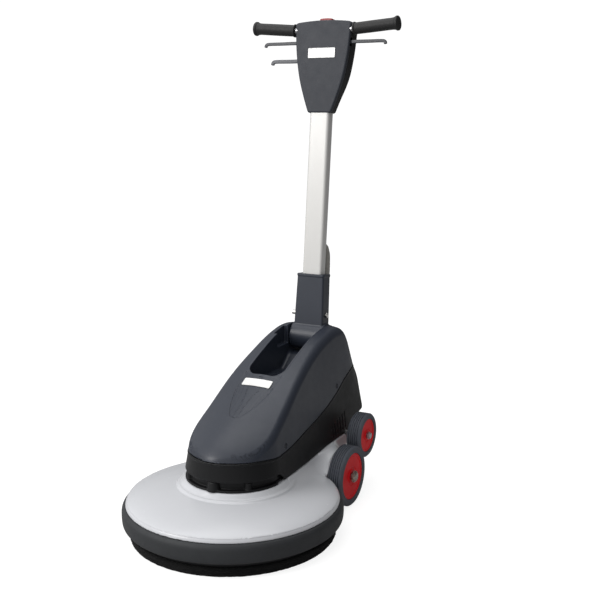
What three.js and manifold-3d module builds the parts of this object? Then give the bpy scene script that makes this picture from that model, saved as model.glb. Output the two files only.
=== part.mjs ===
// Rotary floor machine: a single-pad, direct-drive, high-speed burnisher.
// Millimetres, +Z up. Origin on the floor, under the pad spindle.
// The nose points along -Y, the wheels and the operator are at +Y.
// Piece names call +X right and -X left.
import * as THREE from 'three';
import { mergeVertices } from 'three/addons/utils/BufferGeometryUtils.js';
import Module from 'manifold-3d';

const wasm = await Module();
wasm.setup();

// ------------------------------------------------------- shared dimensions
const GAP = 0.3;                 // clearance between neighbouring pieces
const NOSE_Y = 18;               // centre of the nose circle, collar and base ring
const BASE_R = 126;              // foot of the base ring
const BASE_Z = 139;
const SHAFT_R = 12;
const MOTOR_R = 84;
const DECK_SKIRT_R = 258;        // outer face of the deck below its rim

const WORK_Y = 275;              // working wheels, on the floor
const WORK_Z = 79;
const WORK_X = 158;              // inner face
const WORK_AXLE_R = 8;
const TRANSPORT_Y = 398;         // transport wheels, clear of the floor
const TRANSPORT_Z = 151;
const TRANSPORT_X = 146;
const TRANSPORT_AXLE_R = 7;
const TRANSPORT_AXLE_HOLE_R = 9; // in the deck and the hood
const WHEEL_W = 40;              // width of every wheel

const PIVOT_Y = 420.6;           // handle pivot
const PIVOT_Z = 404.1;
const PIN_R = 8;
const RISE = 22;                 // from the pivot up to the datum of the handle casting
const LEAN = 6.3;                // rearward lean of the handle at rest, degrees

// ------------------------------------------------------------ solid helpers
// value at y in a table of [y, value], held constant past both ends
function lookup(table, y) {
  if (y <= table[0][0]) return table[0][1];
  for (let i = 1; i < table.length; i++) {
    const [y0, value0] = table[i - 1];
    const [y1, value1] = table[i];
    if (y <= y1) return value0 + ((y - y0) / (y1 - y0)) * (value1 - value0);
  }
  return table[table.length - 1][1];
}

// closed solid from positions and triangles, turned so its faces point out
function solid(positions, triangles) {
  const corner = (i) => new THREE.Vector3().fromArray(positions, 3 * i);
  const kept = [];
  let volume = 0;
  for (let i = 0; i < triangles.length; i += 3) {
    const [a, b, c] = triangles.slice(i, i + 3);
    if (a === b || b === c || a === c) continue;
    kept.push(a, b, c);
    volume += corner(a).dot(corner(b).cross(corner(c)));
  }
  if (volume < 0) {
    for (let i = 0; i < kept.length; i += 3) [kept[i], kept[i + 1]] = [kept[i + 1], kept[i]];
  }
  return new wasm.Manifold(new wasm.Mesh({
    numProp: 3,
    vertProperties: new Float32Array(positions),
    triVerts: new Uint32Array(kept),
  }));
}

function fromGeometry(geometry) {
  // normals and uvs would keep vertices along seams from merging
  geometry.deleteAttribute('normal');
  geometry.deleteAttribute('uv');
  const merged = mergeVertices(geometry);
  return solid(Array.from(merged.attributes.position.array), Array.from(merged.index.array));
}

function toGeometry(manifold) {
  const mesh = manifold.getMesh();
  const positions = new Float32Array(mesh.vertProperties);
  const geometry = new THREE.BufferGeometry();
  geometry.setAttribute('position', new THREE.BufferAttribute(positions, 3));
  geometry.setIndex(new THREE.BufferAttribute(new Uint32Array(mesh.triVerts), 1));
  geometry.computeVertexNormals();
  return geometry;
}

const vectors = (points) => points.map(([a, b]) => new THREE.Vector2(a, b));
const lathe = (profile, segments) => new THREE.LatheGeometry(vectors(profile), segments);
const closed = (profile) => [...profile, profile[0]];

// profile of [radius, z] turned about Z
function turned(profile, segments) {
  return fromGeometry(lathe(profile, segments).rotateX(Math.PI / 2));
}
// profile of [radius, x] turned about X
function turnedX(profile, segments) {
  return fromGeometry(lathe(profile, segments).rotateZ(-Math.PI / 2));
}
function annulus(innerR, outerR, z0, z1, segments) {
  return turned(closed([[innerR, z0], [outerR, z0], [outerR, z1], [innerR, z1]]), segments);
}
function cylinderX(r, x0, x1, y, z, segments) {
  return turnedX([[0, x0], [r, x0], [r, x1], [0, x1]], segments).translate([0, y, z]);
}
function cylinderZ(r, z0, z1, x, y, segments) {
  return turned([[0, z0], [r, z0], [r, z1], [0, z1]], segments).translate([x, y, 0]);
}
function cylinderY(r, y0, y1, x, z, segments) {
  return cylinderZ(r, y0, y1, 0, 0, segments).rotate([-90, 0, 0]).translate([x, 0, z]);
}

// outline in X,Y raised along Z
function prismZ(points, z0, z1) {
  const options = { depth: z1 - z0, bevelEnabled: false };
  const geometry = new THREE.ExtrudeGeometry(new THREE.Shape(vectors(points)), options);
  return fromGeometry(geometry.translate(0, 0, z0));
}
// outline in Y,Z carried along X
function prismX(points, x0, x1) {
  return prismZ(points, x0, x1).rotate([90, 0, 90]);
}
// outline in X,Z carried along Y
function prismY(points, y0, y1) {
  return prismZ(points.map(([x, z]) => [x, -z]), y0, y1).rotate([-90, 0, 0]);
}
function box(x0, x1, y0, y1, z0, z1) {
  return prismZ([[x0, y0], [x1, y0], [x1, y1], [x0, y1]], z0, z1);
}

// quarter circle of points, anticlockwise from an angle in degrees
function quarter(centreX, centreY, r, from, steps) {
  return Array.from({ length: steps + 1 }, (_, i) => {
    const angle = THREE.MathUtils.degToRad(from + (90 * i) / steps);
    return [centreX + r * Math.cos(angle), centreY + r * Math.sin(angle)];
  });
}
function rounded(x0, x1, y0, y1, r, steps = 3) {
  return [
    ...quarter(x1 - r, y0 + r, r, -90, steps),
    ...quarter(x1 - r, y1 - r, r, 0, steps),
    ...quarter(x0 + r, y1 - r, r, 90, steps),
    ...quarter(x0 + r, y0 + r, r, 180, steps),
  ];
}
// outline completed with its mirror image in X; points on the centre line stay single
function symmetric(half) {
  const other = half.filter(([x]) => x !== 0).reverse().map(([x, v]) => [-x, v]);
  return [...half, ...other];
}

// round bar along a smooth path
function bar(points, r, steps, sides) {
  const path = points.map((p) => new THREE.Vector3(...p));
  const extrudePath = new THREE.CatmullRomCurve3(path, false, 'centripetal');
  const section = Array.from({ length: sides }, (_, i) => {
    const angle = (2 * Math.PI * i) / sides;
    return new THREE.Vector2(r * Math.cos(angle), r * Math.sin(angle));
  });
  const options = { steps, bevelEnabled: false, extrudePath };
  return fromGeometry(new THREE.ExtrudeGeometry(new THREE.Shape(section), options));
}

// skin over rings of equal length, capped by fans
function loft(rings) {
  const n = rings[0].length;
  const positions = rings.flat(2);
  const triangles = [];
  for (let k = 0; k + 1 < rings.length; k++) {
    for (let i = 0; i < n; i++) {
      const a = k * n + i;
      const b = k * n + (i + 1) % n;
      triangles.push(a, b, b + n, a, b + n, a + n);
    }
  }
  for (const k of [0, rings.length - 1]) {
    const hub = positions.length / 3;
    for (let j = 0; j < 3; j++) positions.push(rings[k].reduce((sum, p) => sum + p[j] / n, 0));
    for (let i = 0; i < n; i++) {
      const a = k * n + i;
      const b = k * n + (i + 1) % n;
      if (k === 0) triangles.push(hub, b, a);
      else triangles.push(hub, a, b);
    }
  }
  return solid(positions, triangles);
}

const join = (...solids) => solids.reduce((a, b) => a.add(b));
const cut = (body, ...tools) => tools.reduce((a, b) => a.subtract(b), body);
const mirrored = (manifold) => manifold.mirror([1, 0, 0]);
const bothSides = (manifold) => manifold.add(mirrored(manifold));
const largest = (manifold) => manifold.decompose().sort((a, b) => b.volume() - a.volume())[0];

// each side with what turns a right-hand solid into its own
const SIDES = [['right', (manifold) => manifold], ['left', mirrored]];

// ------------------------------------------------------ groups and finishes
const object = new THREE.Group();
const handle = new THREE.Group();
handle.position.set(0, PIVOT_Y, PIVOT_Z);
handle.rotation.x = -LEAN * Math.PI / 180;
object.add(handle);
const column = new THREE.Group();
column.position.z = RISE;
handle.add(column);

const FINISH = {
  pad: { color: 0x121213, roughness: 0.95, metalness: 0 },
  black: { color: 0x1d1e20, roughness: 0.5, metalness: 0 },
  slate: { color: 0x454952, roughness: 0.45, metalness: 0 },
  deck: { color: 0xd8d9dc, roughness: 0.25, metalness: 0 },
  bumper: { color: 0x2b2e31, roughness: 0.6, metalness: 0 },
  tyre: { color: 0x4a4c50, roughness: 0.7, metalness: 0 },
  red: { color: 0x8f1818, roughness: 0.4, metalness: 0 },
  button: { color: 0x8a3535, roughness: 0.4, metalness: 0 },
  tube: { color: 0xd8d7d4, roughness: 0.3, metalness: 0.4 },
  chrome: { color: 0xc8c8c8, roughness: 0.12, metalness: 1 },
  steel: { color: 0x9a9a9c, roughness: 0.35, metalness: 1 },
  aluminium: { color: 0xa9abad, roughness: 0.4, metalness: 0.9 },
  copper: { color: 0xa5673a, roughness: 0.4, metalness: 0.8 },
  badge: { color: 0xe6e6e4, roughness: 0.35, metalness: 0 },
  cable: { color: 0x6a6c70, roughness: 0.5, metalness: 0 },
  grip: { color: 0x161617, roughness: 0.75, metalness: 0 },
  lever: { color: 0x5d6066, roughness: 0.4, metalness: 0.2 },
};
function piece(parent, name, manifold, finish) {
  const material = new THREE.MeshStandardMaterial(FINISH[finish]);
  const mesh = new THREE.Mesh(toGeometry(manifold), material);
  mesh.name = name;
  parent.add(mesh);
}
const chassis = (name, manifold, finish) => piece(object, name, manifold, finish);
const onHandle = (name, manifold, finish) => piece(column, name, manifold, finish);

// -------------------------------------------------- pad, driver and spindle
const PAD_R = 254;               // 20 inch floor pad
const PAD_H = 22;
const DRIVER_R = 248;
const DRIVER_TOP = 44;
const HUB_TOP = 60;              // web of the hub, under the shaft
const SHAFT_HOLE_R = SHAFT_R + GAP;

chassis('floor_pad', turned([
  [0, 0], [PAD_R - 3, 0], [PAD_R, 3], [PAD_R, PAD_H - 2], [PAD_R - 2, PAD_H], [0, PAD_H],
], 48), 'pad');
chassis('pad_driver', turned([
  [0, PAD_H + GAP], [DRIVER_R - 2, PAD_H + GAP], [DRIVER_R, 25], [DRIVER_R, 33],
  [DRIVER_R - 4, 36], [90, 36], [70, DRIVER_TOP], [0, DRIVER_TOP],
], 32), 'black');
chassis('drive_hub', turned([
  [0, DRIVER_TOP + GAP], [58, DRIVER_TOP + GAP], [58, 54], [50, 60], [26, 66], [26, 96],
  [SHAFT_HOLE_R, 96], [SHAFT_HOLE_R, HUB_TOP], [0, HUB_TOP],
], 20), 'aluminium');
chassis('motor_shaft', turned([
  [0, HUB_TOP + GAP], [SHAFT_R, HUB_TOP + GAP], [SHAFT_R, 222], [SHAFT_R - 2, 224], [0, 224],
], 24), 'steel');
chassis('motor_rotor', annulus(SHAFT_HOLE_R, 42, 158, 190, 20), 'steel');

function coolingFan() {
  const blades = 6;
  let fan = turned(closed([
    [SHAFT_HOLE_R, 211], [60, 212], [60, 215], [18, 215], [18, 222], [SHAFT_HOLE_R, 222],
  ]), 24);
  for (let i = 0; i < blades; i++) {
    fan = fan.add(box(17, 58, -1.2, 1.2, 214, 223).rotate([0, 0, (360 / blades) * i]));
  }
  return fan;
}
chassis('cooling_fan', coolingFan(), 'black');

// -------------------------------------------------------------------- motor
chassis('motor_housing', turned(closed([
  [14, BASE_Z + GAP], [MOTOR_R + 2, BASE_Z + GAP], [MOTOR_R + 2, BASE_Z + 5],
  [MOTOR_R, BASE_Z + 7], [MOTOR_R, 204], [MOTOR_R - 3.5, 204],
  [MOTOR_R - 3.5, BASE_Z + 5], [14, BASE_Z + 5],
]), 24), 'aluminium');
chassis('motor_stator', annulus(43, MOTOR_R - 5.6, 157, 191, 20), 'copper');
chassis('lower_bearing', annulus(SHAFT_HOLE_R, 26, 144.6, 156, 20), 'steel');
chassis('upper_bearing', annulus(SHAFT_HOLE_R, 26, 192.5, 204, 20), 'steel');
chassis('motor_cover', turned(closed([
  [14, 204.6], [26.4, 204.6], [26.4, 193], [30, 193], [30, 204.4],
  [MOTOR_R, 204.4], [MOTOR_R, 208.5], [14, 208.5],
]), 24), 'aluminium');

// --------------------------------------------------------- deck and bumper
const DECK_R = 262;              // rim of the deck dome
const DECK_RIM_Z = 85;
const DECK_WALL = 4.5;
const COLLAR_R = 141;
const COLLAR_Z = 126;
const NECK_W = 120;              // half width of the rear neck
const NECK_Y = 406;              // rear face of the neck
const NECK_Z = 148;              // top of the neck at the rear
const BOSS_X = 153.5;            // end of the housing that carries the working axle
const BOSS_Z = 88;
const ARCH_R = 84;               // clearance round the working wheels
const BUMPER_R = 271.4;
const BUMPER_Z0 = 36;

// room for both working wheels, open downwards and to the rear
const arches = bothSides(join(
  cylinderX(ARCH_R, 155, 300, WORK_Y, WORK_Z, 28),
  box(155, 300, WORK_Y - ARCH_R, 420, 0, WORK_Z),
));

function deckHousing() {
  const dome = turned([
    [0, 124], [118, 123.5], [150, 119.5], [185, 113.5], [215, 107.5], [238, 101.5],
    [250, 96.5], [258, 90.5], [DECK_R, DECK_RIM_Z - 0.4], [DECK_SKIRT_R, DECK_RIM_Z - 0.4],
    [DECK_SKIRT_R, 44], [0, 44],
  ], 48);
  const domeInside = turned([
    [0, 119.5], [118, 119], [150, 115], [185, 109], [213, 103], [234, 97.2],
    [246, 91.5], [253, 83], [253.5, 30], [0, 30],
  ], 36);
  const collar = turned([
    [0, 100], [146, 100], [144.5, 121], [COLLAR_R, COLLAR_Z], [COLLAR_R - 3, COLLAR_Z + 1.5],
    [BASE_R + 2, BASE_Z - 1], [BASE_R - 1, BASE_Z], [0, BASE_Z],
  ], 36).translate([0, NOSE_Y, 0]);
  const collarInside = turned([
    [0, 90], [138, 90], [136, 121], [122, BASE_Z - DECK_WALL], [0, BASE_Z - DECK_WALL],
  ], 24).translate([0, NOSE_Y, 0]);
  const neckSide = [ // [y, z]
    [60, 60], [262, 60], [345, 84], [NECK_Y, 114], [NECK_Y, NECK_Z],
    [280, NECK_Z], [240, 145], [150, 138.8], [60, 138.6],
  ];
  const neckPlan = symmetric([ // [x, y]
    [NECK_W + 2, 60], [NECK_W, 150], [NECK_W, NECK_Y - 7],
    [NECK_W - 2, NECK_Y - 2], [NECK_W - 7, NECK_Y],
  ]);
  const neck = prismX(neckSide, -130, 130).intersect(prismZ(neckPlan, 30, 200));
  const neckInside = prismX([
    [100, 30], [NECK_Y - DECK_WALL, 30], [NECK_Y - DECK_WALL, NECK_Z - DECK_WALL],
    [280, NECK_Z - DECK_WALL], [240, 140.5], [150, 134.6], [100, 134.4],
  ], -NECK_W + DECK_WALL, NECK_W - DECK_WALL);
  const bossInsideX = BOSS_X - DECK_WALL;
  return largest(cut(
    join(dome, collar, neck, cylinderX(58, -BOSS_X, BOSS_X, WORK_Y, BOSS_Z, 28)),
    join(domeInside, collarInside),
    neckInside,
    cylinderX(53.4, -bossInsideX, bossInsideX, WORK_Y, BOSS_Z, 24),
    arches,
    cylinderX(10, -160, 160, WORK_Y, WORK_Z, 20),
    cylinderX(TRANSPORT_AXLE_HOLE_R, -140, 140, TRANSPORT_Y, TRANSPORT_Z, 20),
    cylinderZ(32, 90, 160, 0, 0, 20),
    // nothing hangs below the open rear edge
    box(-160, 160, 195, 340, 20, 60),
  ));
}
chassis('deck_housing', deckHousing(), 'deck');

function bumperRing() {
  const ring = turned(closed([
    [DECK_SKIRT_R + GAP, BUMPER_Z0 + 3], [262, BUMPER_Z0], [267, BUMPER_Z0],
    [269.5, BUMPER_Z0 + 4], [271, BUMPER_Z0 + 14], [BUMPER_R, BUMPER_Z0 + 24],
    [BUMPER_R, BUMPER_Z0 + 33], [270, BUMPER_Z0 + 40], [267, BUMPER_Z0 + 45],
    [263.5, DECK_RIM_Z - 0.8], [DECK_SKIRT_R + GAP, DECK_RIM_Z - 0.8],
  ]), 48);
  return cut(ring, arches, box(-300, 300, 187, 300, 0, 120));
}
chassis('bumper_ring', bumperRing(), 'bumper');

// base ring between the deck collar and the lower hood, with latch bosses
function baseRing() {
  const top = 162.8;
  const latchBosses = [[2, 30, 129], [44.5, 20, 125], [-45, 20, 125]]; // [degrees, width, reach]
  const ring = turned(closed([
    [106, BASE_Z + GAP], [BASE_R - 0.5, BASE_Z + GAP], [BASE_R - 0.5, BASE_Z + 3],
    [120, BASE_Z + 6], [118, top], [106, top],
  ]), 36);
  const bosses = latchBosses.map(([degrees, width, reach]) => (
    box(-width / 2, width / 2, -reach, -112, BASE_Z + GAP, top).rotate([0, 0, degrees])));
  // the foot is trimmed away from just ahead of the ring's centre to the rear
  const trim = annulus(118.6, 140, 130, 170, 36).intersect(box(-150, 150, -11, 150, 100, 200));
  return join(ring, ...bosses).subtract(trim).translate([0, NOSE_Y, 0]);
}
chassis('base_ring', baseRing(), 'black');

// --------------------------------------------------------------------- hood
const HOOD_WALL = 3.6;
const HOOD_Y0 = -103.2;          // nose end
const HOOD_Y1 = 543;             // rear end
const HOOD_NOSE_R = 121.2;
const HOOD_FLOOR_Y = 440;        // the hood has a floor behind this

// [y, z] of the top along the centre line
const HOOD_MID = [
  [HOOD_Y0, 205], [-101.5, 212], [-98, 219], [-90, 229], [-76, 241], [-52, 257], [-22, 273],
  [10, 289], [60, 314], [108, 338.5], [150, 361], [200, 385], [245, 403], [300, 423],
  [352, 436], [398, 442], [430, 441], [450, 434], [464, 420], [474, 401], [484, 378],
  [496, 350], [507, 326], [513, 314], [520, 309.5], [528, 300], [535, 278], [541, 255],
  [HOOD_Y1, 244],
];
// [y, z] of the ridge where the sides meet the top
const HOOD_RIDGE = [
  [HOOD_Y0, 204], [-98, 209], [-80, 215], [-60, 222], [-35, 233], [-10, 245], [20, 262],
  [60, 287], [108, 319], [150, 346], [200, 372], [245, 392], [300, 412], [352, 425],
  [398, 431], [430, 430], [450, 423], [464, 410], [474, 393], [484, 371], [496, 344],
  [507, 320], [513, 309], [520, 304], [528, 294], [535, 272], [541, 250], [HOOD_Y1, 241],
];
// [y, half width] at the ridge
const HOOD_RIDGE_W = [
  [-10, 112], [20, 112], [60, 109], [108, 105.5], [150, 101.5], [200, 97], [245, 93],
  [300, 90.5], [352, 90], [464, 90], [490, 91], [513, 92], [520, 95], [528, 91], [536, 82],
  [HOOD_Y1, 66],
];
// [y, half width] at the bottom edge
const HOOD_BASE_W = [
  [HOOD_Y0, 124], [60, 124], [160, 121.5], [280, 120], [400, 119], [490, 117], [513, 116],
  [524, 112], [534, 101], [541, 84], [HOOD_Y1, 70],
];
// [y, z] of the bottom edge
const HOOD_BASE_Z = [
  [-110, 163.5], [8, 163.5], [22, 155], [45, 140.2], [160, 141.5], [240, 146.6], [280, 149.4],
  [403, 149.4], [420, 156], [487, 181], [520, 189], [532, 200], [540, 222], [HOOD_Y1, 236],
];
// [y, z] of the joint between upper and lower hood
const SEAM = [
  [-140, 209], [-60, 209], [-20, 207], [21, 203], [60, 205], [111, 211.5], [165, 220.5],
  [235, 232.5], [307, 250], [374, 274.5], [433, 301], [489, 315.5], [560, 318],
];
// distances of the hood sections from its nose end
const HOOD_STATIONS = [
  0, 1.2, 5, 13, 28, 50, 80, 118, 163, 211, 253, 303, 348, 403, 455, 501, 537, 560, 577,
  599, 614, 630, 641, HOOD_Y1 - HOOD_Y0,
];
const HOOD_SCREWS = [['front', 59, 217.5], ['rear', 369, 286.5]]; // [place, y, z]

// [y, z] line moved inwards square to itself; points that fold back are dropped
function insetLine(line, inset) {
  const moved = line.map(([y, z], i) => {
    const before = line[Math.max(i - 1, 0)];
    const after = line[Math.min(i + 1, line.length - 1)];
    const dy = after[0] - before[0];
    const dz = after[1] - before[1];
    const length = Math.hypot(dy, dz);
    return [y + (inset * dz) / length, z - (inset * dy) / length];
  });
  return moved.filter((p, i) => i === 0 || p[0] > moved[i - 1][0] + 0.01);
}

// closed section of the hood at y
function hoodRing(y, inset, midLine, ridgeLine) {
  const noseR = HOOD_NOSE_R - inset;
  const nose = y < NOSE_Y // narrowing of the round nose, 1 behind its centre
    ? Math.sqrt(Math.max(noseR ** 2 - (y - NOSE_Y) ** 2, 1)) / noseR
    : 1;
  const top = lookup(midLine, y);
  let baseW = (lookup(HOOD_BASE_W, y) - inset) * nose;
  const ridgeScale = nose * (0.94 + 0.06 * nose);
  const ridgeW = Math.min((lookup(HOOD_RIDGE_W, y) - inset) * ridgeScale, baseW);
  const ridgeZ = Math.min(lookup(ridgeLine, y), top - 0.3);
  let base = Math.min(lookup(HOOD_BASE_Z, y), ridgeZ - 1);
  if (inset > 0) { // the inside runs on past the open bottom, and stops above the rear floor
    const drop = y > HOOD_FLOOR_Y ? -3 : 40;
    baseW += (drop * (baseW - ridgeW)) / Math.max(ridgeZ - base, 10);
    base = Math.min(base - drop, ridgeZ - 1);
  }
  // rounded corner between the leaning side and the crowned top
  const r = Math.min(20, 0.45 * ridgeW, 0.5 * (ridgeZ - base));
  const side = new THREE.Vector2(baseW - ridgeW, base - ridgeZ).normalize();
  const crown = (x) => top - (top - ridgeZ) * (x / ridgeW) ** 2;
  const startX = ridgeW + side.x * r;
  const startZ = ridgeZ + side.y * r;
  const endX = ridgeW - r;
  const blend = (t, a, b, c) => (1 - t) ** 2 * a + 2 * t * (1 - t) * b + t * t * c;
  const corner = [0, 1 / 3, 2 / 3, 1].map((t) => (
    [blend(t, startX, ridgeW, endX), blend(t, startZ, ridgeZ, crown(endX))]));
  return symmetric([
    [0, base], [baseW, base], [(baseW + startX) / 2, (base + startZ) / 2],
    ...corner, [endX * 0.5, crown(endX * 0.5)], [0, top],
  ]).map(([x, z]) => [x, y, z]);
}
function hoodSolid(inset) {
  const midLine = insetLine(HOOD_MID, inset);
  const ridgeLine = insetLine(HOOD_RIDGE, inset);
  const stretch = 1 - (2 * inset) / (HOOD_Y1 - HOOD_Y0);
  return loft(HOOD_STATIONS.map((station) => (
    hoodRing(HOOD_Y0 + inset + station * stretch, inset, midLine, ridgeLine))));
}

// well in the top that lets the handle fold forward, open to the rear
function well(wall, cornerR) {
  const halfW = 50 + wall;
  const frontY = 152 - wall;
  const plan = [
    [halfW, 600], [-halfW, 600],
    ...quarter(-halfW + cornerR, frontY + cornerR, cornerR, 180, 4),
    ...quarter(halfW - cornerR, frontY + cornerR, cornerR, 270, 4),
  ];
  const floor = [ // [y, z]
    [100, 332], [200, 322], [330, 322], [364, 344], [382, 358], [392, 361], [600, 361],
  ].map(([y, z]) => [y, z - wall]);
  const side = [...floor, [600, 600], [100, 600]];
  return prismZ(plan, 250, 600).intersect(prismX(side, -60, 60));
}
// pocket in the left side of the well: room for the end of the cross bolt when folded
const pocket = (wall) => (
  box(-61.5 - wall, -49, 322 - wall, 380 + wall, 388 - wall, 470));

function hoodShell(outer) {
  const walled = outer.subtract(hoodSolid(HOOD_WALL))
    .add(well(HOOD_WALL, 34).intersect(outer))
    .add(pocket(HOOD_WALL).intersect(outer));
  const screwHoles = HOOD_SCREWS.map(([, y, z]) => bothSides(cylinderX(4, 92, 140, y, z, 12)));
  // row of slots low on each side
  const slots = Array.from({ length: 6 }, (_, i) => (
    bothSides(box(108, 130, 316 + 16 * i, 321 + 16 * i, 158 + i, 190 + 4 * i))));
  return cut(
    walled,
    well(0, 30),
    pocket(0),
    cylinderX(PIN_R + GAP, -66, 66, PIVOT_Y, PIVOT_Z, 24),
    cylinderX(TRANSPORT_AXLE_HOLE_R, -140, 140, TRANSPORT_Y, TRANSPORT_Z, 20),
    ...screwHoles,
    ...slots,
  );
}
// block from the seam, shifted in z, to the height farZ
function seamBlock(shift, farZ) {
  const seam = SEAM.map(([y, z]) => [y, z + shift]);
  return prismX([...seam, [560, farZ], [-140, farZ]], -160, 160);
}
const hoodOuter = hoodSolid(0);
const shell = hoodShell(hoodOuter);
chassis('hood_upper', largest(shell.intersect(seamBlock(0.4, 600))), 'slate');
chassis('hood_lower', largest(shell.intersect(seamBlock(-0.4, 50))), 'black');

// x of the hood's leaning right side
function hoodSideX(y, z) {
  const baseW = lookup(HOOD_BASE_W, y);
  const baseZ = lookup(HOOD_BASE_Z, y);
  const share = (z - baseZ) / (lookup(HOOD_RIDGE, y) - baseZ);
  return baseW + (lookup(HOOD_RIDGE_W, y) - baseW) * share;
}
function hoodScrew(y, z) {
  const x = hoodSideX(y, z) - 1.2;
  const profile = [[0, x - 14], [2, x - 14], [2, x - 4], [3.6, x - 3], [3.6, x], [0, x]];
  return turnedX(profile, 10).translate([0, y, z]);
}
for (const [side, toSide] of SIDES) {
  for (const [place, y, z] of HOOD_SCREWS) {
    chassis(`hood_screw_${place}_${side}`, toSide(hoodScrew(y, z)), 'steel');
  }
}
// blank badge on the sloping top
chassis('hood_badge', prismZ(rounded(-40, 40, -12.5, 12.5, 3), 0, 1.6)
  .rotate([28.5, 0, 0]).translate([0, 121.5, 347.6]).subtract(hoodOuter), 'badge');

// ----------------------------------------------- electrics under the hood
const CAPACITOR_R = 22;
const atCapacitor = (manifold) => manifold.translate([0, 178, 172]);

chassis('run_capacitor', atCapacitor(turnedX([
  [0, -48], [CAPACITOR_R - 1, -48], [CAPACITOR_R, -46], [CAPACITOR_R, 44], [20, 47],
  [8, 47], [8, 52], [0, 52],
], 24)), 'aluminium');
const strapR = CAPACITOR_R + GAP;
chassis('capacitor_bracket', join(
  atCapacitor(turnedX(closed([
    [strapR, -12], [strapR + 2, -12], [strapR + 2, 12], [strapR, 12],
  ]), 28)),
  box(-12, 12, 174, 182, 145.5, 149.6),
), 'steel');
chassis('terminal_box', prismZ(rounded(-34, 34, 222, 282, 5), 150, 186), 'black');

// -------------------------------------------------- handle pivot bracket
function pivotBracket() {
  const halfW = 60.5;
  const cheek = prismX([
    [300, 148.4], [382, 148.4], [382, 172], [416, 190], [442, 370], [432, 402],
    [404, 402], [391, 370], [300, 176],
  ], halfW - 4.5, halfW);
  const base = box(-halfW, halfW, 300, 382, 148.4, 153.4);
  const brace = box(-halfW, halfW, 405, 409, 205, 300);
  return join(bothSides(cheek), base, brace)
    .subtract(cylinderX(PIN_R + GAP, -70, 70, PIVOT_Y, PIVOT_Z, 24));
}
chassis('pivot_bracket', pivotBracket(), 'steel');
chassis('pivot_pin', turnedX([
  [0, -64], [PIN_R - 1, -64], [PIN_R, -63], [PIN_R, 63], [PIN_R - 1, 64], [0, 64],
], 24).translate([0, PIVOT_Y, PIVOT_Z]), 'steel');

// ------------------------------------------------------------------- wheels
const WORK_AXLE_X = 200;         // half lengths of the axles
const TRANSPORT_AXLE_X = 187;

const atWork = (manifold) => manifold.translate([0, WORK_Y, WORK_Z]);
const atTransport = (manifold) => manifold.translate([0, TRANSPORT_Y, TRANSPORT_Z]);

// x0 is the inner face
function tyre({ seatR, shoulderR, radius, x0, segments }) {
  const x1 = x0 + WHEEL_W;
  return turnedX(closed([
    [seatR, x0 + 1], [shoulderR, x0], [radius, x0 + 4],
    [radius, x1 - 4], [shoulderR, x1], [seatR, x1 - 1],
  ]), segments);
}
function workingHub() {
  const x0 = WORK_X;
  const x1 = x0 + WHEEL_W;
  const bore = WORK_AXLE_R + GAP;
  return turnedX(closed([
    [bore, x0 + 3], [20, x0 + 8], [50, x0 + 10], [60.7, x0 + 3],
    [60.7, x1 - 3], [53, x1 - 6], [24, x1 - 4], [bore, x1 - 1],
  ]), 20);
}
function transportHub() {
  const x0 = TRANSPORT_X;
  const x1 = x0 + WHEEL_W;
  const bore = TRANSPORT_AXLE_R + GAP;
  return turnedX(closed([
    [bore, x0 + 3], [17, x0 + 8], [36, x0 + 9], [44.7, x0 + 3],
    [44.7, x1 - 3], [38.5, x1 - 5], [19, x1 - 4], [bore, x1 - 1.5],
  ]), 18);
}
const axle = (r, halfLength) => cylinderX(r, -halfLength, halfLength, 0, 0, 20);

chassis('working_axle', atWork(axle(WORK_AXLE_R, WORK_AXLE_X)), 'steel');
chassis('transport_axle', atTransport(axle(TRANSPORT_AXLE_R, TRANSPORT_AXLE_X)), 'steel');

for (const [side, toSide] of SIDES) {
  const add = (name, manifold, finish) => chassis(`${name}_${side}`, toSide(manifold), finish);
  add('axle_bracket', box(109, 115.2, 250, 300, 60, 140.6)
    .subtract(cylinderX(WORK_AXLE_R + GAP, 100, 120, WORK_Y, WORK_Z, 20)), 'steel');
  add('working_tyre', atWork(tyre({
    seatR: 61, shoulderR: 75, radius: WORK_Z, x0: WORK_X, segments: 32,
  })), 'tyre');
  add('working_hub', atWork(workingHub()), 'red');
  // six-sided domed cap
  add('axle_cap', atWork(turnedX([
    [0, WORK_AXLE_X + GAP], [16, WORK_AXLE_X + GAP], [16, 204], [14, 209], [9, 213], [0, 214.5],
  ], 6)), 'chrome');
  add('transport_tyre', atTransport(tyre({
    seatR: 45, shoulderR: 57, radius: 60, x0: TRANSPORT_X, segments: 28,
  })), 'tyre');
  add('transport_hub', atTransport(transportHub()), 'red');
  add('axle_bolt', atTransport(turnedX([
    [0, TRANSPORT_AXLE_X + GAP], [9, TRANSPORT_AXLE_X + GAP], [9, 191], [7, 193], [0, 193],
  ], 6)), 'steel');
}

// ----------------------------------------------- handle, in its leaning frame
// here X is across, Y is to the rear of the handle, Z is up the tube
const BARREL_R = 38;
const BARREL_W = 49;             // half width
const TUBE_W = 58;
const TUBE_D = 30;
const BOLT_Z = 39;               // cross bolt through socket and tube
const CONDUIT_X = 17;
const CONDUIT_Z = 226;           // where the conduit enters the tube

// upright prism of the tube's section, grown by extra across both widths
function tubePrism(extra, cornerR, z0, z1) {
  const halfW = (TUBE_W + extra) / 2;
  const halfD = (TUBE_D + extra) / 2;
  return prismZ(rounded(-halfW, halfW, -halfD, halfD, cornerR, 4), z0, z1);
}
const boltHole = cylinderX(4.4, -60, 60, 0, BOLT_Z, 16);
const atBolt = (manifold) => manifold.translate([0, 0, BOLT_Z]);

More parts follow.
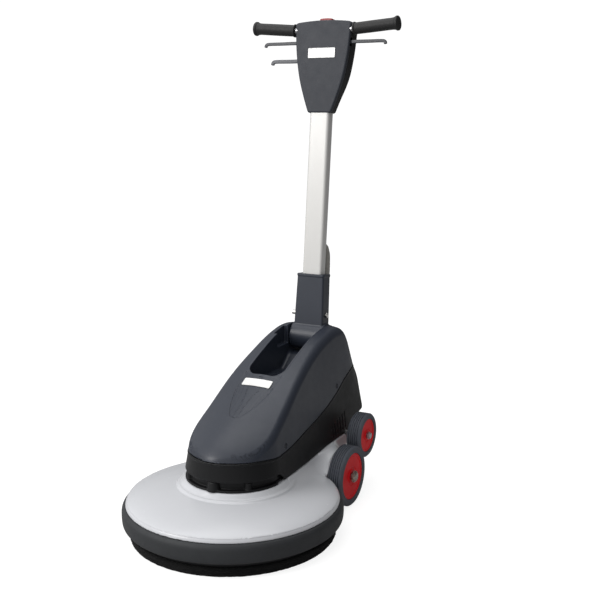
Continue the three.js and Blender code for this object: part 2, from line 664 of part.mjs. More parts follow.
function handleSocket() {
  const front = -21.5;
  const back = 22;
  const taper = [[-10, 43.4], [20, 43.2], [60, 42.6], [110, 41], [146, 40]]; // [z, half width]
  const casting = loft(taper.map(([z, w]) => (
    rounded(-w, w, front, back, 6).map(([x, y]) => [x, y, z]))));
  const rim = prismZ(rounded(-41.5, 41.5, front - 1.5, back + 1.5, 7), 143, 150);
  const barrel = turnedX([
    [0, -BARREL_W], [BARREL_R - 2, -BARREL_W], [BARREL_R, -BARREL_W + 2],
    [BARREL_R, BARREL_W - 2], [BARREL_R - 2, BARREL_W], [0, BARREL_W],
  ], 28).translate([0, 0, -RISE]);
  const pinHole = cylinderX(PIN_R + GAP, -60, 60, 0, -RISE, 24);
  return cut(join(casting, rim, barrel), tubePrism(0.8, 8, 24, 160), pinHole, boltHole);
}
onHandle('handle_socket', handleSocket(), 'slate');
onHandle('handle_tube', cut(
  tubePrism(0, 8, 24.4, 700),
  tubePrism(-5, 6, 14, 710),
  boltHole,
  cylinderY(6.5, 0, 30, CONDUIT_X, CONDUIT_Z, 16),
), 'tube');
onHandle('socket_bolt', join(
  cylinderX(4, -56.6, 46, 0, BOLT_Z, 14),
  atBolt(turnedX([[0, 43.3], [8, 43.3], [8, 47.4], [6.5, 49.2], [0, 49.2]], 12)),
), 'chrome');
onHandle('socket_nut', atBolt(turnedX([
  [0, -60], [5, -60], [6, -59], [6, -43.6], [4.3, -43.6], [4.3, -57], [0, -57],
], 14)), 'chrome');

const CONDUIT_PATH = [ // [y, z]
  [27, 236], [36, 222], [42, 200], [45, 170], [45, 130], [42, 100], [37, 76], [35, 50],
];
onHandle('cable_conduit', join(
  bar(CONDUIT_PATH.map(([y, z]) => [CONDUIT_X, y, z]), 9.5, 18, 10),
  cylinderY(6, 15.6, 34, CONDUIT_X, CONDUIT_Z, 12),
), 'cable');
onHandle('release_rod', join(
  cylinderZ(2.6, 62, 716, -12, 8.4, 8),
  cylinderZ(3.6, 41, 62.5, -12, 8.2, 10),
), 'steel');

// --------------------------------------------------------- control console
const CONSOLE_FRONT = -18;
const CONSOLE_SPLIT = -6;        // joint between the front and rear shells
const CONSOLE_BACK = 32;
const CONSOLE_WALL = 4;          // round the edge
const BAR_Y = -6;                // handlebar and levers
const BAR_Z = 797.5;             // where the two halves of the bar would meet
const BAR_TILT = 4.5;            // upward slope of the bar to each side, degrees
const GRIP_R = 15.5;
const CONSOLE_SIDE = [ // [z, half width]
  [586, 35], [608, 43.5], [632, 52.5], [648, 58], [677, 65.5], [700, 70.5],
  [724, 74.5], [753, 78.5], [785, 80.5], [806, 82.5], [817, 83],
];

// solid about X tilted to run along the right half of the handlebar
const alongBar = (manifold) => (
  manifold.rotate([0, -BAR_TILT, 0]).translate([0, BAR_Y, BAR_Z]));
const inBarPlane = (points) => points.map(([x, z]) => [x, BAR_Y, z]);

function consoleOutline(inset) {
  const side = CONSOLE_SIDE.map(([z, w], i) => (
    [w - inset, Math.min(i === 0 ? z + inset : z, 817 - inset)]));
  return symmetric([
    [CONSOLE_SIDE[0][1] - inset - 3, 584 + inset], ...side, [81 - inset, 821 - inset],
    [77 - inset, 823.5 - inset], [50, 826 - inset], [0, 828 - inset],
  ]);
}
const consolePrism = (inset, y0, y1) => prismY(consoleOutline(inset), y0, y1);

// space behind the console's back, which is shallower at the bottom
const behindConsole = (lowY, highY, z) => (
  prismX([[lowY, 560], [lowY, 600], [highY, z], [60, z], [60, 560]], -120, 120));

// ways through both shells for the tube, the handlebar and the levers
const consoleWays = [
  tubePrism(0.8, 8, 560, 712),
  bothSides(alongBar(cylinderX(11.4, -4, 120, 0, 0, 24))),
  box(-120, 120, -12, 0, 759, 782),
  box(-120, 0, -12, 0, 712, 734),
];
function consoleFront() {
  return largest(cut(
    consolePrism(0, CONSOLE_FRONT, CONSOLE_SPLIT - 0.2),
    consolePrism(CONSOLE_WALL, CONSOLE_FRONT + 2.6, CONSOLE_SPLIT + 1),
    ...consoleWays,
  ));
}
function consoleRear() {
  const inside = consolePrism(CONSOLE_WALL, CONSOLE_SPLIT - 1, CONSOLE_BACK - 3.6)
    .subtract(behindConsole(15.4, CONSOLE_BACK - 3.5, 692));
  return largest(cut(
    consolePrism(0, CONSOLE_SPLIT + 0.2, CONSOLE_BACK),
    inside,
    behindConsole(19, CONSOLE_BACK + 0.5, 690),
    ...consoleWays,
    box(-19.5, 19.5, -3.5, 21.5, 800, 850), // lockout button
    box(-15.5, 15.5, 20, 60, 730, 752), // power inlet
  ));
}
onHandle('console_front', consoleFront(), 'slate');
onHandle('console_rear', consoleRear(), 'black');
onHandle('console_badge', prismY(
  rounded(-40, 40, 729, 755, 3), CONSOLE_FRONT - 1.8, CONSOLE_FRONT - GAP,
), 'badge');
onHandle('power_inlet', box(-15, 15, 14, 34, 730.5, 751.5)
  .subtract(box(-11, 11, 22, 40, 734, 748)), 'black');
onHandle('micro_switch', box(-12, 12, 2, 20, 756, 772), 'black');
onHandle('lockout_button', prismY(
  symmetric([[19, 814], [19, 832], [15, 835.5]]), -3, 21,
), 'button');
onHandle('handlebar', bar(inBarPlane([
  [-203, 813.5], [-100, 805.4], [-14, 798.6], [0, 798], [14, 798.6], [100, 805.4], [203, 813.5],
]), 10.5, 14, 10), 'steel');

const leverPivot = (x, z) => cylinderY(7, -11, -1, x, z, 16);

function grip() {
  return alongBar(turnedX([
    [0, 213.5], [19, 213.5], [19, 208], [GRIP_R, 204], [GRIP_R, 85.5],
    [11.6, 85.5], [11.6, 209], [0, 209],
  ], 18));
}
// pivots inside the console, squeezes up to the grip
function switchLever() {
  const path = inBarPlane([
    [56, 770], [90, 770.8], [130, 770.6], [168, 770.6], [175.5, 769], [178, 763],
  ]);
  return join(bar(path, 4.2, 14, 8), leverPivot(58, 770));
}
for (const [side, toSide] of SIDES) {
  onHandle(`grip_${side}`, toSide(grip()), 'grip');
  onHandle(`switch_lever_${side}`, toSide(switchLever()), 'grip');
}

// handle release lever, lower on the left
function releaseLever() {
  const path = inBarPlane([
    [-56, 723], [-100, 722.6], [-141, 722.8], [-151, 721], [-154, 714.5],
  ]);
  return join(bar(path, 4.8, 12, 8), leverPivot(-56, 723));
}
onHandle('release_lever', releaseLever(), 'lever');

export default object;
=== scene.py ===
# Rotary floor machine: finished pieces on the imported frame.
# It stands on z = 0 with the motor axis on z and its front towards -y; "right" is +x. The hood
# and wheels reach back along +y and the handle rises from them, leaning back.
# Sizes are in millimetres, except for the stage, lights and camera, which are in metres.
import bpy
import bmesh
import math
import numpy as np
from mathutils import Vector, Matrix


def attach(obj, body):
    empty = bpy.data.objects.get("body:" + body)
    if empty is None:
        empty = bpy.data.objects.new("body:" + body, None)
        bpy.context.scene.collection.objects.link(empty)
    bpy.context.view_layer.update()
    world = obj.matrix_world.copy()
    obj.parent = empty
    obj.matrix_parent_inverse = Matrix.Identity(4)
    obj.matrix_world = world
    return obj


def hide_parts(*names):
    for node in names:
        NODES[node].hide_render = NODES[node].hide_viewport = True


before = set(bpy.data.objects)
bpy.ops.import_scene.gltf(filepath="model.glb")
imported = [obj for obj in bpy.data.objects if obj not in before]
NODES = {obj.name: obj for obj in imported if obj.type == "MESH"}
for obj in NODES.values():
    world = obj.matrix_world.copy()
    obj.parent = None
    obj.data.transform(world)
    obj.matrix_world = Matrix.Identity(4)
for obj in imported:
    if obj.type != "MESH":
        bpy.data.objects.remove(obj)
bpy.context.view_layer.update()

# ------------------------------------------------------------- driving dimensions
MM = 0.001
COARSER = 1.0     # larger grid cells while trying things out
REFINE = 3                               # fine grid cells along a coarse one
CURVE_STEP = 0.5
SIDES = ((1, "right"), (-1, "left"))

WORKING_RADIUS = 79
WORKING_AXLE = (275, WORKING_RADIUS)     # axles as (y, z); the wheel stands on the floor
TRANSPORT_RADIUS = 60
TRANSPORT_AXLE = (398, 151)
WORKING_BORE, TRANSPORT_BORE = 8.8, 7.8  # radii of the axle holes
HANDLE_AXLE = (420.6, 404.1)
NOSE_Y = 18                              # centre of the hood nose, deck collar and base ring
NOSE_LENGTH = 121.2
DECK_WALL = 4.6
HOOD_WALL = 3.8
HOOD_END = 543
CROWN_FLOOR = 213                        # the crown never drops below this
HOOD_SCREWS = {"front": (59, 217.5), "rear": (369, 286.5)}       # (y, z)

LEAN = math.radians(6.3)                 # handle, back from upright
PIVOT_DROP = 22                          # handle pivot below the handle datum
TUBE_WIDTH, TUBE_DEPTH, TUBE_CORNER = 58, 30, 8
SOCKET_BOLT = 39                         # bolt height along the handle
BAR_DEPTH = -6                           # handlebar and levers, in front of the handle axis
GRIP_RISE = math.radians(4.5)


# ------------------------------------------------------------------------- curves
def curve(points, soft=0.0, ends=25.0):
    """Monotone curve through the points, as a lookup of value and slope.

    soft is the width of an optional smoothing, which fades out over the ends.
    """
    x = np.array([p[0] for p in points], float)
    y = np.array([p[1] for p in points], float)
    gap = np.diff(x)
    rise = np.diff(y) / gap
    slope = np.zeros(len(x))
    slope[0] = rise[0]
    slope[-1] = rise[-1]
    for i in range(1, len(x) - 1):
        if rise[i - 1] * rise[i] > 0:
            w1, w2 = 2 * gap[i] + gap[i - 1], gap[i] + 2 * gap[i - 1]
            slope[i] = (w1 + w2) / (w1 / rise[i - 1] + w2 / rise[i])
    xs = np.arange(x[0], x[-1] + CURVE_STEP * 0.5, CURVE_STEP)
    i = np.clip(np.searchsorted(x, xs, side="right") - 1, 0, len(gap) - 1)
    s = (xs - x[i]) / gap[i]
    ys = ((2 * s**3 - 3 * s**2 + 1) * y[i] + (s**3 - 2 * s**2 + s) * gap[i] * slope[i]
          + (-2 * s**3 + 3 * s**2) * y[i + 1] + (s**3 - s**2) * gap[i] * slope[i + 1])
    if soft:
        n = int(3 * soft / CURVE_STEP)
        kernel = np.exp(-0.5 * (np.arange(-n, n + 1) * CURVE_STEP / soft) ** 2)
        kernel /= kernel.sum()
        padded = np.concatenate([2 * ys[0] - ys[n:0:-1], ys, 2 * ys[-1] - ys[-2:-n - 2:-1]])
        smooth = np.convolve(padded, kernel, mode="valid")
        share = np.clip(np.minimum(xs - xs[0], xs[-1] - xs) / ends, 0, 1)
        share = share * share * (3 - 2 * share)
        ys = ys * (1 - share) + smooth * share
    slopes = np.gradient(ys, xs)
    return lambda at: (np.interp(at, xs, ys), np.interp(at, xs, slopes, left=0.0, right=0.0))


# Hood, by (y, z) or (y, half width)
CROWN_MID = curve([
    (-103.2, 205), (-101.5, 212), (-98, 219), (-90, 229), (-76, 241), (-52, 257), (-22, 273),
    (10, 289), (60, 314), (108, 338.5), (150, 361), (200, 385), (245, 403), (300, 423), (352, 436),
    (398, 442), (430, 441), (450, 434), (464, 420), (474, 401), (484, 378), (496, 350), (507, 326),
    (513, 314), (520, 309.5), (528, 300), (535, 278), (541, 255), (543, 244)], soft=9)
RIDGE_Z = curve([
    (-103.2, 204), (-98, 209), (-80, 215), (-60, 222), (-35, 233), (-10, 245), (20, 262), (60, 287),
    (108, 319), (150, 346), (200, 372), (245, 392), (300, 412), (352, 425), (398, 431), (430, 430),
    (450, 423), (464, 410), (474, 393), (484, 371), (496, 344), (507, 320), (513, 309), (520, 304),
    (528, 294), (535, 272), (541, 250), (543, 241)], soft=9)
RIDGE_WIDTH = curve([
    (-103, 112), (20, 112), (60, 109), (108, 105.5), (150, 101.5), (200, 97), (245, 93),
    (300, 90.5), (352, 90), (464, 90), (490, 91), (513, 92), (520, 95), (528, 91), (536, 82),
    (543, 66)], soft=10)
BASE_WIDTH = curve([
    (-103.2, 124), (60, 124), (160, 121.5), (280, 120), (400, 119), (490, 117), (513, 116),
    (524, 112), (534, 101), (541, 84), (543, 70)], soft=6)
BASE_Z = curve([
    (-110, 163.5), (8, 163.5), (22, 155), (45, 140.2), (160, 141.5), (240, 146.6), (280, 149.4),
    (403, 149.4), (420, 156), (487, 181), (520, 189), (532, 200), (540, 222), (543, 236)], soft=3)
JOINT_Z = curve([
    (-140, 209), (-60, 209), (-20, 207), (21, 203), (60, 205), (111, 211.5), (165, 220.5),
    (235, 232.5), (307, 250), (374, 274.5), (433, 301), (489, 315.5), (560, 318)], soft=10)
PANEL_WIDTH = curve([
    (8, 0.5), (9.5, 8), (13, 14), (20, 19.5), (30, 24.5), (45, 31.5), (62, 38), (82, 44),
    (102, 48), (125, 50), (160, 50.5)])
WELL_FLOOR = curve([(100, 332), (200, 322), (330, 322), (364, 344), (382, 358), (392, 361),
                    (600, 361)], soft=4)
# Deck, by (distance from the motor axis, z), then twice (y, z)
DECK_TOP = curve([
    (0, 124), (118, 123.5), (150, 119.8), (185, 114.6), (215, 109), (238, 103.2), (250, 99),
    (258, 95), (266, 90)], soft=6, ends=10)
NECK_TOP = curve([(40, 138.6), (150, 138.8), (240, 145), (280, 148), (420, 148)], soft=6)
NECK_BOTTOM = curve([(40, 60), (255, 60), (262, 62), (345, 84), (420, 122)], soft=4)
# Bumper, by (z, radius)
BUMPER_FACE = curve([
    (34, 259), (36, 263), (39, 267.6), (43, 269.9), (50, 271), (60, 271.4), (69, 271.3),
    (75, 270.4), (80, 267.8), (84.5, 263.8)], soft=1.5, ends=3)
# Console, by (height along the handle, half width or rear depth)
CONSOLE_WIDTH = curve([
    (570, 28), (586, 35), (608, 43.5), (632, 52), (655, 59.5), (677, 65.5), (700, 70.5),
    (724, 74.5), (753, 78.3), (785, 80.8), (806, 82.3), (817, 83), (840, 83.6)], soft=7)
CONSOLE_BACK = curve([(560, 19), (600, 19), (690, 32), (840, 32)], soft=8)


# ------------------------------------------------------------------- solid fields
# A field is negative inside its solid and about the distance to its surface outside.
# The last argument of meet, join and cut is the rounding between the two solids.
def meet(a, b, r):
    return (np.minimum(np.maximum(a, b), -r)
            + np.sqrt(np.maximum(a + r, 0) ** 2 + np.maximum(b + r, 0) ** 2))


def join(a, b, r):
    return -meet(-a, -b, r)


def cut(a, b, r):
    return meet(a, -b, r)


def ease(v):
    v = np.clip(v, 0, 1)
    return v * v * (3 - 2 * v)


def off(value, lookup, at):
    """Distance of value beyond a curve, allowing for the curve's slope."""
    level, slope = lookup(at)
    return (value - level) / np.sqrt(1 + slope * slope)


def band(value, centre, half):
    return np.abs(value - centre) - half


def rod(a, b, centre, radius):
    return np.hypot(a - centre[0], b - centre[1]) - radius


def side_hole(x, y, z, axle, radius, inner=100):
    """Round hole along x through both side walls, from inner outwards."""
    return np.maximum(rod(y, z, axle, radius), inner - np.abs(x))


def shifted(grid, offset, count):
    return grid[tuple(slice(o, o + n) for o, n in zip(offset, count))]


def gradient(field, points, reach):
    slopes = np.zeros_like(points)
    for i in range(3):
        move = np.zeros(3)
        move[i] = reach
        slopes[:, i] = (field(*(points + move).T) - field(*(points - move).T)) / (2 * reach)
    return slopes


def sample(field, low, high, grid):
    """Field values on the fine grid, exact only near the surface to save work."""
    coarse = grid * REFINE
    cells = np.ceil((high - low) / coarse).astype(int)
    axes = [low[i] + coarse * np.arange(cells[i] + 1) for i in range(3)]
    rough = field(*np.meshgrid(*axes, indexing="ij"))
    size = np.abs(rough)
    nearest = np.min([shifted(size, o, cells) for o in np.ndindex(2, 2, 2)], axis=0)
    active = nearest < 1.5 * coarse
    count = cells * REFINE
    active = active.repeat(REFINE, 0).repeat(REFINE, 1).repeat(REFINE, 2)
    near = np.zeros(count + 1, bool)
    for offset in np.ndindex(2, 2, 2):
        view = shifted(near, offset, count)
        view |= active
    spread = [np.minimum(np.arange(count[i] + 1) // REFINE, cells[i]) for i in range(3)]
    values = np.where(rough < 0, -1.0, 1.0)[np.ix_(*spread)].astype(np.float32)
    index = np.nonzero(near)
    exact = np.empty(len(index[0]), np.float32)
    batch = 300000      # limits the memory used at once
    for s in range(0, len(exact), batch):
        e = s + batch
        exact[s:e] = field(*[low[i] + grid * index[i][s:e] for i in range(3)])
    exact[exact == 0] = 1e-6
    values[index] = exact
    return values, count


def surface(field, low, high, grid):
    """Points, quads and normals of the closed surface where the field is zero."""
    low = np.array(low, float)
    values, count = sample(field, low, np.array(high, float), grid)
    inside = values < 0
    corners = np.zeros(count, np.uint8)
    for offset in np.ndindex(2, 2, 2):
        corners += shifted(inside, offset, count)
    cells = np.nonzero((corners > 0) & (corners < 8))
    total = len(cells[0])
    point_of = np.full(count, -1, np.int32)
    point_of[cells] = np.arange(total)

    # one point per crossed cell: the mean of its edge crossings
    points = np.zeros((total, 3))
    crossings = np.zeros(total)

    def corner(o):
        return values[cells[0] + o[0], cells[1] + o[1], cells[2] + o[2]].astype(float)

    for axis in range(3):
        across = [i for i in range(3) if i != axis]
        for offset in np.ndindex(2, 2):
            start = [0, 0, 0]
            start[across[0]], start[across[1]] = offset
            end = list(start)
            end[axis] = 1
            first, last = corner(start), corner(end)
            hit = (first < 0) != (last < 0)
            part = np.where(hit, first / np.where(hit, first - last, 1), 0)
            crossing = np.tile(np.array(start, float), (total, 1))
            crossing[:, axis] = part
            points[hit] += crossing[hit]
            crossings[hit] += 1
    points = low + grid * (np.stack(cells, 1) + points / crossings[:, None])

    # pull the points onto the surface
    for _ in range(3):
        slopes = gradient(field, points, 0.25)
        level = field(*points.T)
        move = slopes * (level / np.maximum((slopes * slopes).sum(1), 0.05))[:, None]
        length = np.linalg.norm(move, axis=1)
        points -= move * np.minimum(1, 0.7 * grid / np.maximum(length, 1e-9))[:, None]
    slopes = gradient(field, points, 0.4)
    normals = slopes / np.maximum(np.linalg.norm(slopes, axis=1), 1e-9)[:, None]

    # one quad around each crossed grid edge
    quads = []
    for axis, (u, v) in enumerate([(1, 2), (2, 0), (0, 1)]):
        start = [slice(1, -1)] * 3
        end = [slice(1, -1)] * 3
        start[axis] = slice(0, -1)
        end[axis] = slice(1, None)
        edges = np.stack(np.nonzero(inside[tuple(start)] != inside[tuple(end)]), 1)
        edges[:, [u, v]] += 1

        def around(du, dv):
            cell = edges.copy()
            cell[:, u] -= 1 - du
            cell[:, v] -= 1 - dv
            return point_of[tuple(cell.T)]

        quad = np.stack([around(0, 0), around(1, 0), around(1, 1), around(0, 1)], 1)
        outward = inside[tuple(edges.T)]
        quad[~outward] = quad[~outward][:, ::-1]
        quads.append(quad)
    return points, np.concatenate(quads), normals


# -------------------------------------------------------------- places and pieces
def upright(points, turn_only=False):
    return np.asarray(points, float)


def on_handle(points, turn_only=False):
    """From handle axes (across, depth to the rear, height along) to the machine's."""
    points = np.asarray(points, float)
    c, s = math.cos(LEAN), math.sin(LEAN)
    out = np.stack([points[:, 0], points[:, 1] * c + points[:, 2] * s,
                    -points[:, 1] * s + points[:, 2] * c], 1)
    datum = np.array([0.0, HANDLE_AXLE[0] + PIVOT_DROP * s, HANDLE_AXLE[1] + PIVOT_DROP * c])
    return out if turn_only else out + datum


def on_grip(points, side):
    """From grip axes, with x along the grip, to the machine's."""
    c, s = math.cos(GRIP_RISE), math.sin(GRIP_RISE) * side
    turned = np.stack([points[:, 0] * c - points[:, 2] * s, points[:, 1],
                       points[:, 0] * s + points[:, 2] * c], 1)
    return on_handle(turned + np.array([0, BAR_DEPTH, 797.5]))


HANDLE = {"body": "handle", "place": on_handle}


def add_piece(name, mesh, look, body="chassis", slot=None):
    """Add a piece; its name is the frame node it replaces plus one word."""
    material, own_slot = look
    mesh.materials.append(material)
    piece = bpy.data.objects.new(name, mesh)
    bpy.context.scene.collection.objects.link(piece)
    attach(piece, body)
    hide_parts(name.rsplit("_", 1)[0])
    return piece


def solid(name, look, field, low, high, grid, place=upright, **riding):
    """Piece bounded by a field, found between the corners low and high."""
    points, quads, normals = surface(field, low, high, grid)
    mesh = bpy.data.meshes.new(name)
    mesh.vertices.add(len(points))
    mesh.vertices.foreach_set("co", (place(points) * MM).astype(np.float32).ravel())
    mesh.loops.add(quads.size)
    mesh.loops.foreach_set("vertex_index", quads.astype(np.int32).ravel())
    mesh.polygons.add(len(quads))
    mesh.polygons.foreach_set("loop_start", (np.arange(len(quads)) * 4).astype(np.int32))
    mesh.update(calc_edges=True)
    mesh.validate()
    mesh.polygons.foreach_set("use_smooth", np.ones(len(mesh.polygons), bool))
    mesh.update()
    mesh.normals_split_custom_set_from_vertices(place(normals, True).astype(np.float32))
    add_piece(name, mesh, look, **riding)


def add_faces(name, look, points, faces, place=upright, **riding):
    mesh = bpy.data.meshes.new(name)
    mesh.from_pydata([tuple(p) for p in place(np.array(points, float)) * MM], [], faces)
    mesh.validate()
    bm = bmesh.new()
    bm.from_mesh(mesh)
    bmesh.ops.remove_doubles(bm, verts=bm.verts, dist=1e-7)
    bmesh.ops.recalc_face_normals(bm, faces=bm.faces)
    bm.to_mesh(mesh)
    bm.free()
    mesh.polygons.foreach_set("use_smooth", np.ones(len(mesh.polygons), bool))
    piece = add_piece(name, mesh, look, **riding)
    shading = piece.modifiers.new("shade", "WEIGHTED_NORMAL")
    shading.keep_sharp = True
    shading.weight = 80


def fillet(points, r, n, closed=True):
    """Round an outline's corners with n steps; a third entry is a point's own radius."""
    out = []
    count = len(points)
    for i, entry in enumerate(points):
        if not closed and i in (0, count - 1):
            out.append((entry[0], entry[1]))
            continue
        radius = entry[2] if len(entry) > 2 else r
        point = np.array(entry[:2], float)
        back = np.array(points[i - 1][:2], float) - point
        ahead = np.array(points[(i + 1) % count][:2], float) - point
        back_len, ahead_len = np.linalg.norm(back), np.linalg.norm(ahead)
        back /= back_len
        ahead /= ahead_len
        half = math.acos(np.clip(back @ ahead, -1, 1)) / 2
        if half > math.radians(86):      # nearly straight
            out.append(tuple(point))
            continue
        trim = min(radius / math.tan(half), 0.45 * back_len, 0.45 * ahead_len)
        start, end = point + back * trim, point + ahead * trim
        for j in range(n + 1):
            s = j / n
            out.append(tuple((1 - s) ** 2 * start + 2 * s * (1 - s) * point + s * s * end))
    return out


def revolve(name, look, profile, segments=96, r=0.8, axle=None, side=1, wobble=None, **placing):
    """Turn a profile of (radius, height, own corner radius) about z, or x through the axle.

    A profile that starts on the axis makes a solid piece, any other a ring.
    """
    closed = profile[0][0] > 0
    points, rows = [], []
    for j, (radius, height) in enumerate(fillet(profile, r, 3, closed)):
        if radius < 1e-6:
            rows.append([len(points)])
            points.append((0.0, 0.0, height))
            continue
        rows.append(list(range(len(points), len(points) + segments)))
        for k in range(segments):
            a = 2 * math.pi * k / segments
            out, up = wobble(j, k, radius, height) if wobble else (0, 0)
            points.append(((radius + out) * math.cos(a), (radius + out) * math.sin(a),
                           height + up))
    pairs = list(zip(rows, rows[1:]))
    if closed:
        pairs.append((rows[-1], rows[0]))
    faces = []
    for one, two in pairs:
        for k in range(segments):
            n = (k + 1) % segments
            if len(one) == 1:
                faces.append((one[0], two[k], two[n]))
            elif len(two) == 1:
                faces.append((one[k], one[n], two[0]))
            else:
                faces.append((one[k], one[n], two[n], two[k]))
    points = np.array(points)
    if axle:
        points = np.stack([points[:, 2], points[:, 0] + axle[0], points[:, 1] + axle[1]], 1)
    points[:, 0] *= side
    add_faces(name, look, points, faces, **placing)


def loft(name, look, rings, tube=False, **placing):
    """Skin over rings of points; a tube joins the last ring to the first, without caps."""
    n = len(rings[0])
    faces = []
    for k in range(len(rings) if tube else len(rings) - 1):
        one, two = k * n, ((k + 1) % len(rings)) * n
        for i in range(n):
            j = (i + 1) % n
            faces.append((one + i, one + j, two + j, two + i))
    if not tube:
        faces.append(tuple(range(n)))
        faces.append(tuple(range((len(rings) - 1) * n, len(rings) * n)))
    add_faces(name, look, [p for ring in rings for p in ring], faces, **placing)


def smooth_path(points, step):
    """Points about a step apart on a centripetal curve through the given ones."""
    def mix(p, q, t0, t1):
        return (t1 - s) / (t1 - t0) * p + (s - t0) / (t1 - t0) * q

    given = np.array(points, float)
    given = np.vstack([2 * given[0] - given[1], given, 2 * given[-1] - given[-2]])
    out = []
    for i in range(1, len(given) - 2):
        p = given[i - 1:i + 3]
        t = [0.0]
        for a, b in zip(p, p[1:]):
            t.append(t[-1] + np.linalg.norm(b - a) ** 0.5)
        n = max(2, int(np.linalg.norm(p[2] - p[1]) / step))
        for s in np.linspace(t[1], t[2], n, endpoint=False):
            a1, a2, a3 = [mix(p[j], p[j + 1], t[j], t[j + 1]) for j in range(3)]
            out.append(mix(mix(a1, a2, t[0], t[2]), mix(a2, a3, t[1], t[3]), t[1], t[2]))
    out.append(given[-2])
    return np.array(out)


def sweep(name, look, path, section, up, scale=None, dome=0, **placing):
    """Carry a section of (across, up) along the path; dome is the length of rounded ends."""
    path = np.asarray(path, float)
    up = np.array(up, float)
    ahead = np.gradient(path, axis=0)
    ahead /= np.linalg.norm(ahead, axis=1)[:, None]
    scale = np.ones(len(path)) if scale is None else scale
    stations = [(i, 0.0, 1.0) for i in range(len(path))]     # (path point, offset, size)
    if dome:
        angles = [math.radians(a) for a in np.linspace(10, 90, 6)]
        end = [(dome * math.sin(a), math.cos(a)) for a in angles]
        stations = ([(0, -offset, size) for offset, size in reversed(end)] + stations
                    + [(len(path) - 1, offset, size) for offset, size in end])
    rings = []
    for i, offset, size in stations:
        sideways = np.cross(ahead[i], up)
        sideways /= np.linalg.norm(sideways)
        upward = np.cross(sideways, ahead[i])
        size = max(size, 0.05) * scale[i]
        centre = path[i] + ahead[i] * offset
        rings.append([tuple(centre + sideways * (p[0] * size) + upward * (p[1] * size))
                      for p in section])
    loft(name, look, rings, **placing)


def circle(r, n):
    return [(r * math.cos(2 * math.pi * i / n), r * math.sin(2 * math.pi * i / n))
            for i in range(n)]


def rounded_box(w, h, r, n=4):
    return fillet([(-w / 2, -h / 2), (w / 2, -h / 2), (w / 2, h / 2), (-w / 2, h / 2)], r, n)


def hexed(name, look, profile, flats, axle, side=1, segments=72, **placing):
    """Nut or bolt along x from rows of (radius, x, hexagonal); flats is centre to flat."""
    rings = []
    for radius, x, hexagonal in profile:
        ring = []
        for i in range(segments):
            a = 2 * math.pi * i / segments
            from_flat = (a % (math.pi / 3)) - math.pi / 6
            reach = min(radius, flats / math.cos(from_flat)) if hexagonal else radius
            ring.append((side * x, axle[0] + reach * math.cos(a), axle[1] + reach * math.sin(a)))
        rings.append(ring)
    loft(name, look, rings, **placing)


# ---------------------------------------------------------------------- materials
def feed(target, inputs):
    """Set or link the inputs of a shader node, by socket name or number."""
    for key, value in inputs.items():
        if isinstance(value, bpy.types.NodeSocket):
            target.id_data.links.new(value, target.inputs[key])
        else:
            target.inputs[key].default_value = value


def node(tree, kind, inputs=None, **settings):
    made = tree.nodes.new("ShaderNode" + kind)
    for key, value in settings.items():
        setattr(made, key, value)
    feed(made, inputs or {})
    return made


def make_look(name, slot, colour, rough, metal=0.0, vary=0.08, patch=18.0, grain=900.0,
              bump=0.06, relief="noise", rough_vary=0.08, spec=0.5, coat=0.0, coat_rough=0.1,
              wear=0.0, wear_colour=None, stretch=None, sheen=0.0):
    """Material and slot. patch and grain are noise scales of the colour and the relief."""
    material = bpy.data.materials.new(name + "_material")
    material.use_nodes = True
    tree = material.node_tree
    skin = tree.nodes["Principled BSDF"]

    def noise(vector, **inputs):
        return node(tree, "TexNoise", {"Vector": vector, **inputs}).outputs["Fac"]

    def maths(operation, *values):
        return node(tree, "Math", dict(enumerate(values)), operation=operation).outputs[0]

    place = node(tree, "TexCoord").outputs["Object"]
    drawn = place
    if stretch:
        drawn = node(tree, "Mapping", {"Scale": stretch, "Vector": place}).outputs["Vector"]
    broad = noise(drawn, Scale=patch, Detail=5.0, Roughness=0.55)
    fine = noise(drawn, Scale=patch * 14, Detail=3.0, Roughness=0.6)
    ramp = node(tree, "ValToRGB", {"Fac": maths("MULTIPLY_ADD", fine, 0.35, broad)})
    dark, light = ramp.color_ramp.elements
    dark.position, light.position = 0.35, 1.0
    dark.color = (*[c * (1 - vary) for c in colour], 1)
    light.color = (*[min(1, c * (1 + vary)) for c in colour], 1)
    shown = ramp.outputs["Color"]
    if wear:        # paler on exposed edges, in patches
        edge = node(tree, "MapRange", {
            "From Min": 0.53, "From Max": 0.64,
            "Value": node(tree, "NewGeometry").outputs["Pointiness"]}).outputs["Result"]
        worn = maths("MULTIPLY", edge, noise(place, Scale=120.0, Detail=4.0))
        pale = wear_colour or [min(1, c * 2.2 + 0.03) for c in colour]
        shown = node(tree, "MixRGB", {"Fac": maths("MULTIPLY", worn, wear), "Color1": shown,
                                      "Color2": (*pale, 1)}).outputs["Color"]
    rough_map = node(tree, "MapRange", {
        "To Min": max(0.02, rough - rough_vary), "To Max": min(1, rough + rough_vary),
        "Value": noise(drawn, Scale=patch * 3, Detail=4.0)})
    feed(skin, {"Base Color": shown, "Roughness": rough_map.outputs["Result"], "Metallic": metal,
                "Specular IOR Level": spec, "Coat Weight": coat, "Coat Roughness": coat_rough,
                "Sheen Weight": sheen})
    if bump:
        if relief == "grain":
            height = node(tree, "TexVoronoi", {"Scale": grain, "Vector": place})
            height = height.outputs["Distance"]
        elif relief == "fibre":
            height = node(tree, "TexWave", {"Scale": grain, "Distortion": 18.0, "Detail": 4.0,
                                            "Vector": place}).outputs["Fac"]
        else:
            height = noise(drawn, Scale=grain, Detail=4.0, Roughness=0.6)
        relief_map = node(tree, "Bump", {"Strength": bump, "Distance": 0.0006, "Height": height})
        feed(skin, {"Normal": relief_map.outputs["Normal"]})
    return material, slot


